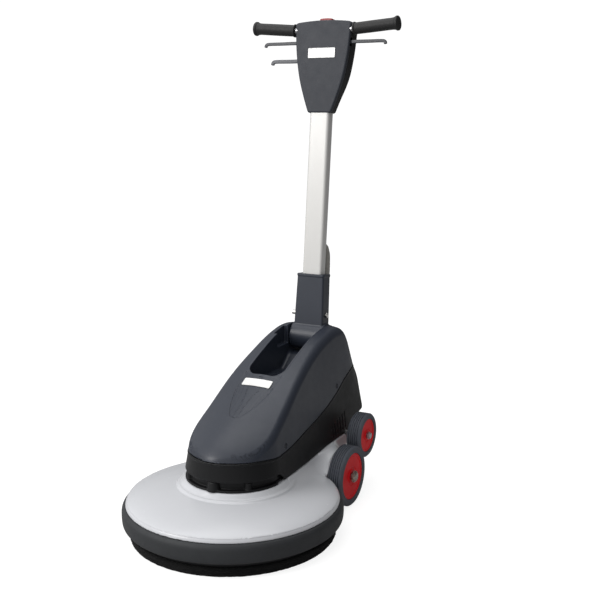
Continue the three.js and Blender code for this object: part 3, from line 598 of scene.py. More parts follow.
PAD = make_look("pad_fibre", "pad_fibre", (0.006, 0.006, 0.0065), rough=0.95, vary=0.5, patch=60,
                grain=260, bump=1.0, relief="fibre", spec=0.15, sheen=0.05)
BLACK = make_look("black_moulding", "black_shell", (0.0055, 0.0058, 0.0066), rough=0.46,
                  vary=0.10, grain=1100, bump=0.10, relief="grain", spec=0.24, wear=0.12)
SLATE = make_look("slate_moulding", "slate_shell", (0.0225, 0.0275, 0.0405), rough=0.38,
                  vary=0.06, grain=1100, bump=0.08, relief="grain", spec=0.45, wear=0.15)
CONSOLE = make_look("slate_console", "slate_shell", (0.0265, 0.0300, 0.0390), rough=0.48,
                    vary=0.07, grain=1100, bump=0.10, relief="grain", spec=0.3, wear=0.15)
DECK = make_look("deck_paint", "deck_white", (0.555, 0.565, 0.592), rough=0.26, vary=0.02,
                 patch=9, bump=0.0, rough_vary=0.03, coat=0.25, coat_rough=0.22)
BUMPER = make_look("bumper_rubber", "bumper_rubber", (0.026, 0.028, 0.031), rough=0.62,
                   vary=0.12, patch=30, grain=700, bump=0.12, spec=0.35, wear=0.2)
TYRE = make_look("tyre_rubber", "tyre_grey", (0.082, 0.090, 0.108), rough=0.60, vary=0.10,
                 patch=40, grain=700, bump=0.14, spec=0.28, wear=0.25)
RED = make_look("hub_red", "hub_red", (0.74, 0.010, 0.016), rough=0.46, patch=30, grain=800,
                bump=0.07, relief="grain", spec=0.16, wear=0.1, wear_colour=(0.5, 0.06, 0.06))
BUTTON = make_look("button_red", "button_red", (0.28, 0.030, 0.030), rough=0.42, patch=60,
                   relief="grain")
TUBE = make_look("painted_tube", "tube_silver", (0.61, 0.605, 0.59), rough=0.34, metal=0.15,
                 vary=0.02, patch=10, grain=500, bump=0.02, rough_vary=0.05, coat=0.15,
                 stretch=(1, 1, 0.15))
STEEL = make_look("plated_steel", "steel", (0.42, 0.42, 0.43), rough=0.30, metal=1.0, vary=0.12,
                  patch=40, grain=600, bump=0.05, rough_vary=0.1)
BRIGHT = make_look("bright_steel", "steel", (0.62, 0.61, 0.59), rough=0.18, metal=1.0, patch=60,
                   grain=500, bump=0.03)
CHROME = make_look("dull_chrome", "chrome", (0.36, 0.31, 0.27), rough=0.28, metal=1.0,
                   vary=0.15, patch=70, grain=500, bump=0.05)
CAST = make_look("cast_aluminium", "cast_aluminium", (0.45, 0.455, 0.46), rough=0.48, metal=0.9,
                 vary=0.10, patch=50, grain=420, bump=0.25, rough_vary=0.12)
COPPER = make_look("copper_winding", "copper_winding", (0.42, 0.17, 0.07), rough=0.38,
                   metal=0.85, vary=0.2, patch=30, grain=500, bump=0.6, relief="fibre")
BADGE = make_look("badge_plate", "badge_white", (0.78, 0.78, 0.77), rough=0.32, metal=0.1,
                  vary=0.02, patch=40, grain=700, bump=0.02, coat=0.3)
CONDUIT = make_look("conduit", "conduit_grey", (0.30, 0.29, 0.27), rough=0.5, patch=40,
                    grain=600, bump=0.08)
GRIP = make_look("grip_rubber", "grip_rubber", (0.0085, 0.0085, 0.0092), rough=0.55, vary=0.15,
                 patch=50, grain=700, bump=0.16, relief="grain", spec=0.4, wear=0.1)
LEVER = make_look("lever_moulding", "lever_grey", (0.075, 0.080, 0.092), rough=0.42, vary=0.1,
                  patch=50, grain=800, bump=0.08, relief="grain")
LEVER_BLACK = make_look("black_lever", "lever_black", (0.032, 0.035, 0.043), rough=0.42,
                        vary=0.1, patch=50, grain=800, bump=0.08, relief="grain")


# --------------------------------------------------------------------------- deck
def arch(x, y, z):
    """Space around the working wheels, outside x = 155 on each side."""
    below = np.maximum(191 - y, z - WORKING_RADIUS)
    return meet(155 - np.abs(x), join(rod(y, z, WORKING_AXLE, 84), below, 4), 8)


def collar(x, y, z):
    """Round step on the deck, with a sloping lip above it."""
    radius = np.hypot(x, y - NOSE_Y)
    step = meet(radius - 145, z - 127.3, 5)
    lip = meet(((radius - 138) * 10.5 + (z - 127.5) * 10) / 14.5, z - 139, 2.2)
    return join(step, lip, 2.5)


def deck(x, y, z):
    across = np.abs(x)
    radius = np.hypot(x, y)
    over_top = off(z, DECK_TOP, radius)
    over_neck = z - NECK_TOP(y)[0]
    dome = meet(meet(over_top, radius - 262, 8), 84.7 - z, 1.2)
    skirt = np.maximum(np.maximum(radius - 257.9, 44 - z), z - 95)
    dome = np.minimum(dome, skirt)
    # neck reaching back from the dome, with a boss around the working axle
    sides = across - 120 - 2 * np.clip((150 - y) / 90, 0, 1)
    boss = meet(rod(y, z, (275, 88), 56), across - 153.5, 8)
    neck = meet(meet(join(sides, boss, 30), y - 406, 6), off(z, NECK_TOP, y), 4.5)
    neck = np.maximum(meet(neck, -off(z, NECK_BOTTOM, y), 4), 60 - y)
    ring = collar(x, y, z)
    outside = join(join(dome, neck, 30), np.maximum(ring, 100 - z), 4)
    # hollow under dome, neck, boss and collar, leaving a wall around the arches
    under_dome = meet(over_top + DECK_WALL, radius - 253.2, 6)
    under_neck = meet(meet(sides + DECK_WALL, y - 401.4, 5), over_neck + DECK_WALL, 3)
    under_boss = meet(meet(rod(y, z, (275, 88), 50), across - 148, 3), over_neck + 5, 3)
    hollow = join(under_dome, np.maximum(under_neck, 95 - y), 12)
    hollow = join(join(hollow, under_boss, 3), ring + 4.8, 3)
    arches = arch(x, y, z)
    hollow = meet(hollow, 4.8 - arches, 3)
    shell = cut(cut(outside, hollow, 1.0), arches, 3.5)
    shell = cut(shell, side_hole(x, y, z, WORKING_AXLE, WORKING_BORE), 0.4)
    shell = cut(shell, side_hole(x, y, z, TRANSPORT_AXLE, TRANSPORT_BORE), 0.4)
    return cut(shell, radius - 32, 1)      # hole on the motor axis


def bumper(x, y, z):
    radius = np.hypot(x, y)
    strip = meet(off(radius, BUMPER_FACE, z), 258.4 - radius, 1.0)
    strip = meet(strip, band(z, 60.1, 24.0), 2.2)
    strip = meet(strip, y - 187, 5)
    return cut(strip, arch(x, y, z), 3)


def base_ring(x, y, z):
    back = y - NOSE_Y
    radius = np.hypot(x, back)
    height = band(z, 151.1, 11.6)

    def post(degrees, distance, top, foot):
        """Upright round post with its top and foot radius, at an angle from the front."""
        a = math.radians(degrees)
        r = foot + (top - foot) * np.clip((z - 139.5) / 23, 0, 1)
        plan = np.hypot(x - distance * math.sin(a), back + distance * math.cos(a))
        return meet(plan - r, height, 1.8)

    ring = meet(band(radius, 110, 4), height, 1.2)
    flange = meet(np.maximum(radius - 125.4, 106 - radius), band(z, 142.2, 2.7), 1.6)
    ring = join(ring, flange, 2.5)
    ring = join(ring, post(3, 112, top=14, foot=19), 2)
    for degrees in (44.5, -45):
        ring = join(ring, post(degrees, 115, top=8.4, foot=9.2), 2)
    ring = np.maximum(ring, 106 - radius)
    return cut(ring, meet(118.3 - radius, 4 - y, 1), 1)


solid("deck_housing_shell", DECK, deck, (-266, -266, 40), (266, 411, 152), 2.3 * COARSER)
solid("bumper_ring_strip", BUMPER, bumper, (-274, -274, 33), (274, 190, 87), 1.9 * COARSER)
solid("base_ring_moulding", BLACK, base_ring, (-130, -114, 137), (130, 134, 165), 1.6 * COARSER)


# --------------------------------------------------------------------------- hood
def hood_outside(x, y, z, low=False):
    """Outer surface: a crown bowed between two ridges, over leaning sides."""
    across = np.abs(x)
    mid, mid_slope = CROWN_MID(y)
    ridge, ridge_slope = RIDGE_Z(y)
    ridge = np.minimum(ridge, mid - 0.3)
    ridge_width = RIDGE_WIDTH(y)[0]
    base_width = BASE_WIDTH(y)[0]
    base = BASE_Z(y)[0]
    nose = np.clip((NOSE_Y - y) / NOSE_LENGTH, 0, 2)
    arc = np.sqrt(np.maximum(1 - nose * nose, 0.003))
    narrowing = np.where(y < NOSE_Y, arc * (0.94 + 0.06 * arc), 1)
    crown_width = np.maximum(ridge_width * narrowing, 6)
    bow = (across / crown_width) ** 2
    bow_used = np.minimum(bow, 2.5)
    crown = mid - (mid - ridge) * bow_used
    slope_x = np.where(bow < 2.5, 2 * (mid - ridge) * across / crown_width**2, 0)
    slope_y = mid_slope - (mid_slope - ridge_slope) * bow_used
    steep = np.sqrt(1 + slope_x * slope_x + slope_y * slope_y)

    lean = (base_width - ridge_width) / np.maximum(ridge - base, 12)
    flare = np.clip((209 - z) / 46, 0, 1) * ease((70 - y) / 70)
    width = np.maximum(base_width - lean * (z - base), 25) + 1.5 * flare
    reach = np.sqrt((across / width) ** 2
                    + (nose * NOSE_LENGTH / (NOSE_LENGTH + 4.2 * flare)) ** 2) + 1e-9
    side = (reach - 1) * width / np.sqrt(1 + lean * lean)
    # the edge is rounded less where crown and side face the same way
    facing = np.clip((slope_x * across / width + np.maximum(slope_y, 0) * nose)
                     / (reach * steep), 0, 1)
    steep = np.where(crown < CROWN_FLOOR, 1.0, steep)
    outside = meet(side, (z - np.maximum(crown, CROWN_FLOOR)) / steep, 2 + 18 * (1 - facing))
    if low:      # at the nose only the side surface shapes the lower shell
        outside = np.where(y < NOSE_Y, side, outside)
    return meet(outside, y - HOOD_END, 5)


def hood_hollow(full, outside, y, z, thicker=0.0):
    """Hollow a hood shell, closing the bottom towards the rear."""
    under = -off(z, BASE_Z, y)
    floor = under - 60 + 63.4 * ease((y - 436) / 8)
    return cut(full, meet(outside + HOOD_WALL + thicker, floor, 1.0), 0.9)


def hood_upper(x, y, z):
    across = np.abs(x)
    outside = hood_outside(x, y, z)
    # sunken panel on the front of the crown
    beyond = np.maximum(off(across, PANEL_WIDTH, y), np.maximum(8.2 - y, y - 158))
    full = meet(outside + 1.3 * ease(0.5 - beyond / 1.6), -off(z, BASE_Z, y), 1.5)
    shell = hood_hollow(full, outside, y, z)
    # well along the middle and narrow pocket on its left, both with 3.6 walls
    well = meet(meet(across - 50, 152 - y, 30), -off(z, WELL_FLOOR, y), 8)
    pocket = meet(meet(band(x, -55.25, 6.25), band(y, 351, 29), 3), 388 - z, 2)
    shell = join(shell, meet(well - 3.6, full, 0.8), 2.0)
    shell = join(shell, meet(pocket - 3.6, full, 0.8), 1.5)
    shell = cut(cut(shell, well, 2.4), pocket, 1.5)
    shell = cut(shell, np.maximum(rod(y, z, HANDLE_AXLE, 8.6), across - 67), 0.6)
    for screw in HOOD_SCREWS.values():
        head = side_hole(x, y, z, screw, 6.2, inner=88)
        shell = cut(shell, meet(head, -(outside + 2.4), 0.4), 0.8)
        shell = cut(shell, side_hole(x, y, z, screw, 4.2, inner=88), 0.4)
    return meet(shell, 0.45 - off(z, JOINT_Z, y), 1.2)


def hood_lower(x, y, z):
    outside = hood_outside(x, y, z, low=True)
    over_joint = off(z, JOINT_Z, y)
    # proud rim just under the joint
    rim = 0.35 + 0.75 * ease((60 - y) / 60)
    full = join(outside, meet(outside - rim, np.abs(over_joint + 2.9) - 2.5, 1.0), 1.2)
    full = meet(full, -off(z, BASE_Z, y), 1.5)
    # thicker in the rear corners
    shell = hood_hollow(full, outside, y, z, thicker=3.4 * ease((y - 450) / 24))
    shell = cut(shell, side_hole(x, y, z, TRANSPORT_AXLE, TRANSPORT_BORE), 0.4)
    for i in range(6):      # upright slots sunk in the sides
        low, high = 158 + i, 190 + 4 * i
        slot = meet(band(y, 318.5 + 16 * i, 2.8), band(z, (low + high) / 2, (high - low) / 2), 2.2)
        sunk = meet(np.maximum(slot, 100 - np.abs(x)), -(outside + 1.2), 0.4)
        shell = cut(shell, sunk, 0.7)
    return meet(shell, over_joint + 0.45, 1.0)


def hood_badge(x, y, z):
    """Plate following the crown, with a raised border."""
    outside = hood_outside(x, y, z)
    tilt = math.radians(28.5)
    along = (y - 121.5) * math.cos(tilt) + (z - 347.6) * math.sin(tilt)
    plan = meet(np.abs(x) - 40, np.abs(along) - 12.5, 3)
    plate = meet(meet(plan, outside - 1.2, 0.5), -(outside + 1.0), 0.2)
    return cut(plate, meet(plan + 1.9, -(outside - 0.75), 0.3), 0.3)


solid("hood_upper_shell", SLATE, hood_upper, (-124, -107, 196), (124, 546, 447), 2.0 * COARSER)
solid("hood_lower_shell", BLACK, hood_lower, (-129, -110, 135), (129, 547, 323), 2.0 * COARSER)
solid("hood_badge_plate", BADGE, hood_badge, (-42, 104, 328), (42, 139, 362), 0.7)


def hood_side_x(y, z):
    """Half width of the hood at one point of its side."""
    x = np.linspace(60, 130, 700)
    return float(x[np.argmax(hood_outside(x, np.full_like(x, y), np.full_like(x, z)) > 0)])


for place_word, screw in HOOD_SCREWS.items():
    seat = hood_side_x(*screw) - 2.4
    profile = [(0, seat - 13), (2, seat - 13, 0.4), (2, seat, 0.3), (4.6, seat, 0.4),
               (4.5, seat + 1.3, 0.9), (2.4, seat + 2.3, 0.8), (1.7, seat + 2.3, 0.2),
               (1.5, seat + 0.7, 0.2), (0, seat + 0.6)]
    for side, side_word in SIDES:
        revolve(f"hood_screw_{place_word}_{side_word}_pan", LEVER_BLACK, profile, 32, r=0.3,
                axle=screw, side=side, slot="steel")

# ----------------------------------------------------------- pad, drive and motor
FUZZ_ROWS, PAD_SEGMENTS = 40, 360
fuzz = np.random.default_rng(7).normal(0, 1, (FUZZ_ROWS, 2 * PAD_SEGMENTS))
for _ in range(2):
    fuzz = 0.6 * fuzz + 0.2 * np.roll(fuzz, 1, 1) + 0.2 * np.roll(fuzz, -1, 1)


def pad_fuzz(j, k, radius, height):
    """Ragged rim, and a rough underside."""
    out = 0.9 * fuzz[j % FUZZ_ROWS, 2 * k] - 0.5 if radius > 240 else 0
    rough = height < 10 and radius > 100
    return out, 0.25 * abs(fuzz[(j + 3) % FUZZ_ROWS, 2 * k]) if rough else 0


def winding_waves(j, k, radius, height):
    """Waves on the end faces of the winding."""
    waved = 48 < radius < 71 and (height < 161 or height > 187)
    return 0, 0.5 * math.sin(k * math.pi / 3) if waved else 0


revolve("floor_pad_disc", PAD, [
    (0, 0.2), (120, 0.1, 0.1), (250.8, 0.3, 2.5), (252.6, 3.6, 1), (253.1, 8, 1), (252.6, 12, 1),
    (253.2, 16, 1), (252.3, 20, 1), (248, 21.8, 2), (120, 21.8, 0.1), (0, 21.8)],
    PAD_SEGMENTS, r=1.5, wobble=pad_fuzz, body="pad_rotor")
revolve("pad_driver_plate", BLACK, [
    (0, 22.4), (244, 22.4, 0.5), (248, 25, 1), (248, 33, 1.5), (243, 36, 1.5), (210, 36, 1),
    (207, 33, 1), (172, 33, 1), (169, 36, 1), (92, 36, 3), (70, 44, 2), (0, 44)],
    192, r=1.0, body="pad_rotor")
revolve("drive_hub_casting", CAST, [
    (0, 44.3), (58, 44.3, 0.6), (58, 53, 1), (50, 60, 3), (27, 65, 4), (26, 96, 1),
    (12.3, 96, 0.6), (12.3, 60, 0.3), (0, 60)], body="pad_rotor")
revolve("motor_shaft_bar", BRIGHT, [
    (0, 60.3), (12, 60.3, 0.8), (12, 222, 1.6), (10.4, 224, 0.4), (0, 224)],
    64, body="pad_rotor")
revolve("motor_rotor_core", STEEL, [
    (12.3, 158), (30, 158, 1), (33, 160, 1), (42, 160, 0.5), (42, 188, 0.5), (33, 188, 1),
    (30, 190, 1), (12.3, 190)], body="pad_rotor")
revolve("motor_stator_ring", COPPER, [
    (43, 160), (50, 157.2, 3), (70, 157.2, 3), (72, 161, 1), (78.2, 161, 0.5), (78.2, 187, 0.5),
    (72, 187, 1), (70, 190.8, 3), (50, 190.8, 3), (43, 188)], 144, wobble=winding_waves)
grooves = []
for low, high in ((150, 157), (163, 171), (177, 185)):
    grooves += [(84, low, 0.4), (82.6, low + 1, 0.4), (82.6, high - 1, 0.4), (84, high, 0.4)]
revolve("motor_housing_can", CAST, [
    (14, 139.5), (86, 139.5, 0.6), (86, 144, 0.8), (84, 146, 1), *grooves, (84, 204, 0.5),
    (80.6, 204, 0.4), (80.6, 144.2, 1), (14, 144.2, 0.5)], 144)
revolve("motor_cover_plate", CAST, [
    (14, 204.7), (26.4, 204.7, 0.2), (26.4, 193.1, 0.3), (30, 193.1, 0.6), (30, 204.5, 0.6),
    (83.6, 204.5, 0.5), (83.8, 207.8, 1), (72, 208.4, 0.6), (70, 206.6, 0.6), (40, 206.6, 0.6),
    (38, 208.4, 0.6), (14, 208.4, 0.5)])
for name, seat in (("lower_bearing_race", 144.6), ("upper_bearing_race", 192.5)):
    low = seat + 0.05
    high = low + 11.3
    revolve(name, BRIGHT, [
        (12.3, low), (15.6, low, 0.4), (16.2, low + 1.0, 0.3), (22, low + 1.0, 0.3),
        (22.6, low, 0.4), (26, low, 0.6), (26, high, 0.6), (22.6, high, 0.4),
        (22, high - 1, 0.3), (16.2, high - 1, 0.3), (15.6, high, 0.4), (12.3, high)], 72, r=0.3)
revolve("run_capacitor_can", CAST, [
    (0, -48), (20, -48, 1), (22, -46, 1), (22, 43, 1), (21, 44.5, 0.6), (22, 46, 0.6),
    (20, 47, 0.8), (18.5, 45.2, 0.6), (8.5, 45.2, 0.5), (8, 52, 1), (5.5, 52, 0.5),
    (5.2, 49.5, 0.4), (0, 49.5)], 72, axle=(178, 172))

# ------------------------------------------------------------------------- wheels
WHEEL_WIDTH = 40
TREAD_GROOVES = 5
# Hub rows are (radius, distance in from that face of the tyre, corner radius).
WHEELS = (
    {"name": "working", "axle": WORKING_AXLE, "inner_x": 158, "radius": WORKING_RADIUS,
     "bore": 61, "segments": (144, 128),
     "inner_face": ((8.4, 4, 0.5), (20, 7, 1), (22, 11, 2), (46, 12, 3), (52, 4, 2),
                    (60.6, 3.2, 0.8)),
     "outer_face": ((60.6, 3.0, 0.8), (57.5, 2.6, 0.8), (54, 2.8, 0.8), (52, 4.0, 1.2),
                    (27, 4.4, 1.5), (24.5, 5.6, 1.2), (19, 5.8, 1.0), (17, 3.8, 1.2),
                    (8.4, 3.6, 0.5))},
    {"name": "transport", "axle": TRANSPORT_AXLE, "inner_x": 146, "radius": TRANSPORT_RADIUS,
     "bore": 45, "segments": (128, 112),
     "inner_face": ((7.4, 4, 0.5), (16, 6, 1), (18, 10, 2), (34, 11, 2), (38, 4, 2),
                    (44.6, 3.2, 0.8)),
     "outer_face": ((44.6, 3.0, 0.8), (42, 2.6, 0.8), (39.5, 2.8, 0.8), (38, 3.8, 1.0),
                    (20, 4.2, 1.2), (18, 5.2, 1.0), (14.5, 5.4, 0.8), (12.5, 3.4, 1.0),
                    (7.4, 3.2, 0.5))},
)
# Nut and bolt rows are (radius, x, hexagonal).
CAP_SEAT, CAP_FLATTENING = 200.35, 0.58      # the nut's heights are scaled from its seat
CAP_NUT = [(radius, CAP_SEAT + (x - CAP_SEAT) * CAP_FLATTENING, hexagonal)
           for radius, x, hexagonal in (
    (13.2, 200.35, 0), (15.6, 200.35, 0), (15.9, 201, 0), (15.8, 202, 0), (14.2, 202.2, 0),
    (14.9, 202.4, 1), (15.6, 203.2, 1), (15.6, 206.4, 1), (14.4, 207.6, 1), (12.3, 208.2, 0),
    (12.0, 209.6, 0), (11.2, 211.3, 0), (9.6, 212.8, 0), (7.2, 213.8, 0), (4, 214.35, 0),
    (1.2, 214.5, 0))]
BOLT_HEAD = ((9.2, 187.35, 0), (10.2, 187.6, 0), (10.2, 188.4, 0), (8.4, 188.6, 0),
             (8.6, 188.8, 1), (8.8, 189.3, 1), (8.8, 191.6, 1), (8.0, 192.6, 1),
             (5.6, 192.9, 0), (1.0, 192.9, 0))


def tyre_profile(inner, outer, radius, bore):
    side = ((bore, 1.1, 0.4), (bore + 3, 0.6, 0.8), (radius - 9, 0.15, 3),
            (radius - 4.2, 0.4, 3), (radius, 4.6, 2.6))
    first, last = inner + 5.4, outer - 5.4
    pitch = (last - first) / TREAD_GROOVES
    profile = [(r, inner + d, corner) for r, d, corner in side]
    for i in range(TREAD_GROOVES):
        c = first + pitch * (i + 0.5)
        profile += [(radius, c - 1.5, 0.5), (radius - 3.0, c - 1.1, 0.4),
                    (radius - 3.0, c + 1.1, 0.4), (radius, c + 1.5, 0.5)]
    return profile + [(r, outer - d, corner) for r, d, corner in reversed(side)]


for side, word in SIDES:
    for wheel in WHEELS:
        name = wheel["name"]
        inner = wheel["inner_x"]
        outer = inner + WHEEL_WIDTH
        tyre_segments, hub_segments = wheel["segments"]
        turning = {"axle": wheel["axle"], "side": side, "body": f"{name}_wheel_{word}"}
        revolve(f"{name}_tyre_{word}_rubber", TYRE,
                tyre_profile(inner, outer, wheel["radius"], wheel["bore"]),
                tyre_segments, r=1, **turning)
        hub = ([(r, inner + d, corner) for r, d, corner in wheel["inner_face"]]
               + [(r, outer - d, corner) for r, d, corner in wheel["outer_face"]])
        revolve(f"{name}_hub_{word}_moulding", RED, hub, hub_segments, **turning)
    hexed(f"axle_cap_{word}_nut", CHROME, CAP_NUT, 13.4, WORKING_AXLE, side)
    hexed(f"axle_bolt_{word}_head", STEEL, BOLT_HEAD, 7.6, TRANSPORT_AXLE, side)

# Bars: name, look, axle, radius, half length, end radius, shoulder x, shoulder corner
for name, look, axle, radius, half, end, shoulder, corner in (
        ("working_axle_bar", STEEL, WORKING_AXLE, 8, 199.8, 7, 198.6, 0.4),
        ("transport_axle_bar", STEEL, TRANSPORT_AXLE, 7, 186.9, 6.2, 186, 0.3),
        ("pivot_pin_bar", BRIGHT, HANDLE_AXLE, 8, 63.9, 6.8, 62.8, 0.3)):
    revolve(name, look, [
        (0, -half), (end, -half), (radius, -shoulder, corner), (radius, shoulder, corner),
        (end, half), (0, half)], 48, r=0.3, axle=axle)


# ------------------------------------------------------------------------- handle
# From here x is across, depth is to the rear and along is the height along the handle.
def handle_socket(x, depth, along):
    across = np.abs(x)
    width = 43.4 - 3.4 * np.clip((along - 20) / 126, 0, 1)
    body = meet(meet(across - width, band(depth, 0.25, 21.75), 5), band(along, 68.5, 78.5), 1)
    rim = meet(meet(across - 41.5, band(depth, 0.25, 23.2), 6.5), band(along, 146.2, 3.7), 1.3)
    barrel = meet(rod(depth, along, (0, -PIVOT_DROP), 38), across - 49, 3.5)
    casting = join(join(body, barrel, 1.6), rim, 0.8)
    tube_hole = meet(meet(across - 29.4, np.abs(depth) - 15.4, 8), 24 - along, 2)
    casting = cut(casting, tube_hole, 1.2)
    casting = cut(casting, rod(depth, along, (0, -PIVOT_DROP), 8.4), 0.8)
    return cut(casting, rod(depth, along, (0, SOCKET_BOLT), 4.5), 0.5)


solid("handle_socket_casting", SLATE, handle_socket, (-53, -42, -64), (53, 42, 153),
      1.6 * COARSER, **HANDLE)

# Tube rings: (width, depth, corner, along), up the outside and down the bore
tube_rings = [(57.4, 29.4, 7.7, 24.5)]
tube_rings += [(TUBE_WIDTH, TUBE_DEPTH, TUBE_CORNER, along)
               for along in (25.2, 150, 300, 450, 585, 699.4)]
tube_rings += [(57.4, 29.4, 7.7, 700), (53.6, 25.6, 6.2, 700), (53, 25, 6, 699.4),
               (53, 25, 6, 25.2), (53.6, 25.6, 6.2, 24.5)]
loft("handle_tube_section", TUBE,
     [[(px, py, along) for px, py in rounded_box(width, depth, corner, 6)]
      for width, depth, corner, along in tube_rings], tube=True, **HANDLE)

hexed("socket_bolt_shank", BRIGHT, [
    (3.4, -56.5, 0), (4, -55.9, 0), (4, 43.3, 0), (7.6, 43.35, 1), (8, 43.8, 1), (8, 47.0, 1),
    (7.2, 48.2, 1), (5.2, 49.1, 0), (1, 49.15, 0)],
    7.0, (0, SOCKET_BOLT), segments=48, slot="chrome", **HANDLE)
revolve("socket_nut_sleeve", BRIGHT, [
    (0, 57.1), (4.3, 57.1, 0.2), (4.3, 43.65, 0.2), (6, 43.65, 0.4), (6, 59, 0.8), (5, 60, 0.8),
    (0, 60)], 48, r=0.3, axle=(0, SOCKET_BOLT), side=-1, slot="chrome", **HANDLE)

HOSE_STEP, HOSE_PITCH = 0.9, 4.2             # path step and corrugation spacing
hose = smooth_path([
    (17, 16.2, 226), (17, 25, 227), (17, 33, 223), (17, 38, 212), (17, 42, 198), (17, 45, 170),
    (17, 45, 130), (17, 42, 100), (17, 37, 76), (17, 35, 51)], HOSE_STEP)
run = np.arange(len(hose)) * HOSE_STEP
swell = ((0.95 + 0.05 * np.cos(2 * math.pi * run / HOSE_PITCH))
         * np.interp(run, [0, 9, 36], [0.95, 0.95, 1.5]))
sweep("cable_conduit_hose", CONDUIT, hose, circle(6.1, 20), (1, 0, 0), scale=swell, **HANDLE)


# ------------------------------------------------------------------------ console
def console_outline(x, along):
    top = along - (828 - 2.0 * (np.abs(x) / 50) ** 2)
    return meet(meet(off(np.abs(x), CONSOLE_WIDTH, along), top, 9), 584 - along, 5)


def console_openings(shell, x, depth, along):
    across = np.abs(x)
    tube = meet(meet(across - 29.4, np.abs(depth) - 15.35, 8), along - 712, 1)
    bar_along = np.maximum(798, 797.5 + 0.0787 * across)
    bar = (np.hypot(depth - BAR_DEPTH, along - bar_along)
           - 10.75 - 0.75 * ease((across - 74) / 4))
    slot_depth = band(depth, BAR_DEPTH, 5.8)
    switch_slots = meet(meet(band(along, 770.5, 11.3), slot_depth, 2.5), 60 - across, 0.5)
    release_slot = meet(meet(band(along, 723, 10.8), slot_depth, 2.5), x + 55, 0.5)
    shell = cut(cut(shell, tube, 0.5), bar, 0.5)
    return cut(cut(shell, switch_slots, 0.8), release_slot, 0.8)


def console_front(x, depth, along):
    outline = console_outline(x, along)
    shell = meet(meet(outline, -18 - depth, 4.5), depth + 6.25, 0.6)
    shell = cut(shell, meet(outline + 2.9, -15.3 - depth, 2), 0.5)
    return console_openings(shell, x, depth, along)


def console_rear(x, depth, along):
    outline = console_outline(x, along)
    back = off(depth, CONSOLE_BACK, along)
    shell = meet(meet(outline, back, 8), -5.75 - depth, 0.6)
    shell = cut(shell, meet(outline + 3.6, back + 3.6, 5), 0.5)
    shell = console_openings(shell, x, depth, along)
    button = meet(meet(np.abs(x) - 19.5, band(depth, 9, 12.5), 5), 800 - along, 0.5)
    shell = cut(shell, meet(button, along - 860, 1), 0.7)
    # rounded rectangular opening in the rear face
    opening = meet(meet(np.abs(x) - 15.4, band(along, 741, 11), 2), 20 - depth, 0.5)
    return cut(shell, opening, 0.6)


def lockout_button(x, depth, along):
    plan = meet(np.abs(x) - 18.9, band(depth, 9, 11.9), 4.5)
    return meet(meet(plan, along - (835.6 - 0.004 * x * x), 3.2), 814.2 - along, 0.8)


solid("console_front_shell", CONSOLE, console_front, (-88, -20, 581), (88, -4, 831),
      1.3 * COARSER, **HANDLE)
solid("console_rear_shell", BLACK, console_rear, (-88, -8, 581), (88, 35, 831),
      1.6 * COARSER, **HANDLE)
# Badge rings: (inset from the edge, depth), to the raised rim and the sunken face
loft("console_badge_plate", BADGE,
     [[(px, depth, 742 + py)
       for px, py in rounded_box(80 - 2 * inset, 26 - 2 * inset, max(3 - inset, 1), 5)]
      for inset, depth in ((0.2, -18.3), (0, -18.5), (0, -19.3), (0.4, -19.7), (1.4, -19.7),
                           (1.8, -19.35), (6, -19.33))], **HANDLE)
solid("lockout_button_cap", BUTTON, lockout_button, (-21, -5, 812), (21, 23, 838),
      0.9 * COARSER, body="button", place=on_handle)

# -------------------------------------------------------- handlebar, grips, levers
bar_path = smooth_path([(x, BAR_DEPTH, along) for x, along in (
    (-203, 813.5), (-100, 805.4), (-14, 798.6), (0, 798), (14, 798.6), (100, 805.4),
    (203, 813.5))], 4)
sweep("handlebar_tube", STEEL, bar_path, circle(10.5, 32), (0, 1, 0), **HANDLE)

GRIP_PROFILE = [
    (0, 209), (11.3, 209, 0.4), (11.3, 85.5, 0.4), (15.2, 85.5, 1.2), (17.4, 87.1, 1.2),
    (17.4, 90.1, 1.2), (15.3, 92.5, 1.5), (15.5, 142, 8), (15.3, 195, 6), (16.4, 203.5, 4),
    (18.9, 207.5, 1.6), (19, 211.6, 1.4), (17.4, 213.5, 1.6), (6, 213.5, 0.5), (5, 212.6, 0.4),
    (0, 212.6)]
# Lever paths are (distance across, along), then (distance across, width factor).
SWITCH_PATH = ((56, 770), (90, 770.8), (130, 770.6), (167, 770.6), (174, 769.8),
               (177.2, 767.4), (178, 763.4))
SWITCH_WIDTH = ((56, 66, 80, 182), (1.25, 1.2, 1.0, 0.92))
RELEASE_PATH = ((56, 723), (100, 722.6), (142, 722.8), (150, 722), (153.2, 719.4),
                (154, 715.4))
RELEASE_WIDTH = ((56, 66, 80, 164), (1.2, 1.15, 1.0, 0.95))


def lever(name, look, side, stations, widths, section, dome, body):
    path = smooth_path([(side * x, BAR_DEPTH, along) for x, along in stations], 1.2)
    sweep(name, look, path, section, (0, 0, 1), scale=np.interp(np.abs(path[:, 0]), *widths),
          dome=dome, body=body, place=on_handle)


for side, word in SIDES:
    revolve(f"grip_{word}_sleeve", GRIP, GRIP_PROFILE, 72, axle=(0, 0), side=side,
            body="handle", place=lambda points: on_grip(points, side))
    lever(f"switch_lever_{word}_blade", LEVER_BLACK, side, SWITCH_PATH, SWITCH_WIDTH,
          section=rounded_box(6.2, 9.2, 2.2), dome=2.0, body=f"lever_{word}")
lever("release_lever_blade", LEVER, -1, RELEASE_PATH, RELEASE_WIDTH,
      section=rounded_box(6.8, 10.4, 2.4), dome=2.4, body="release")

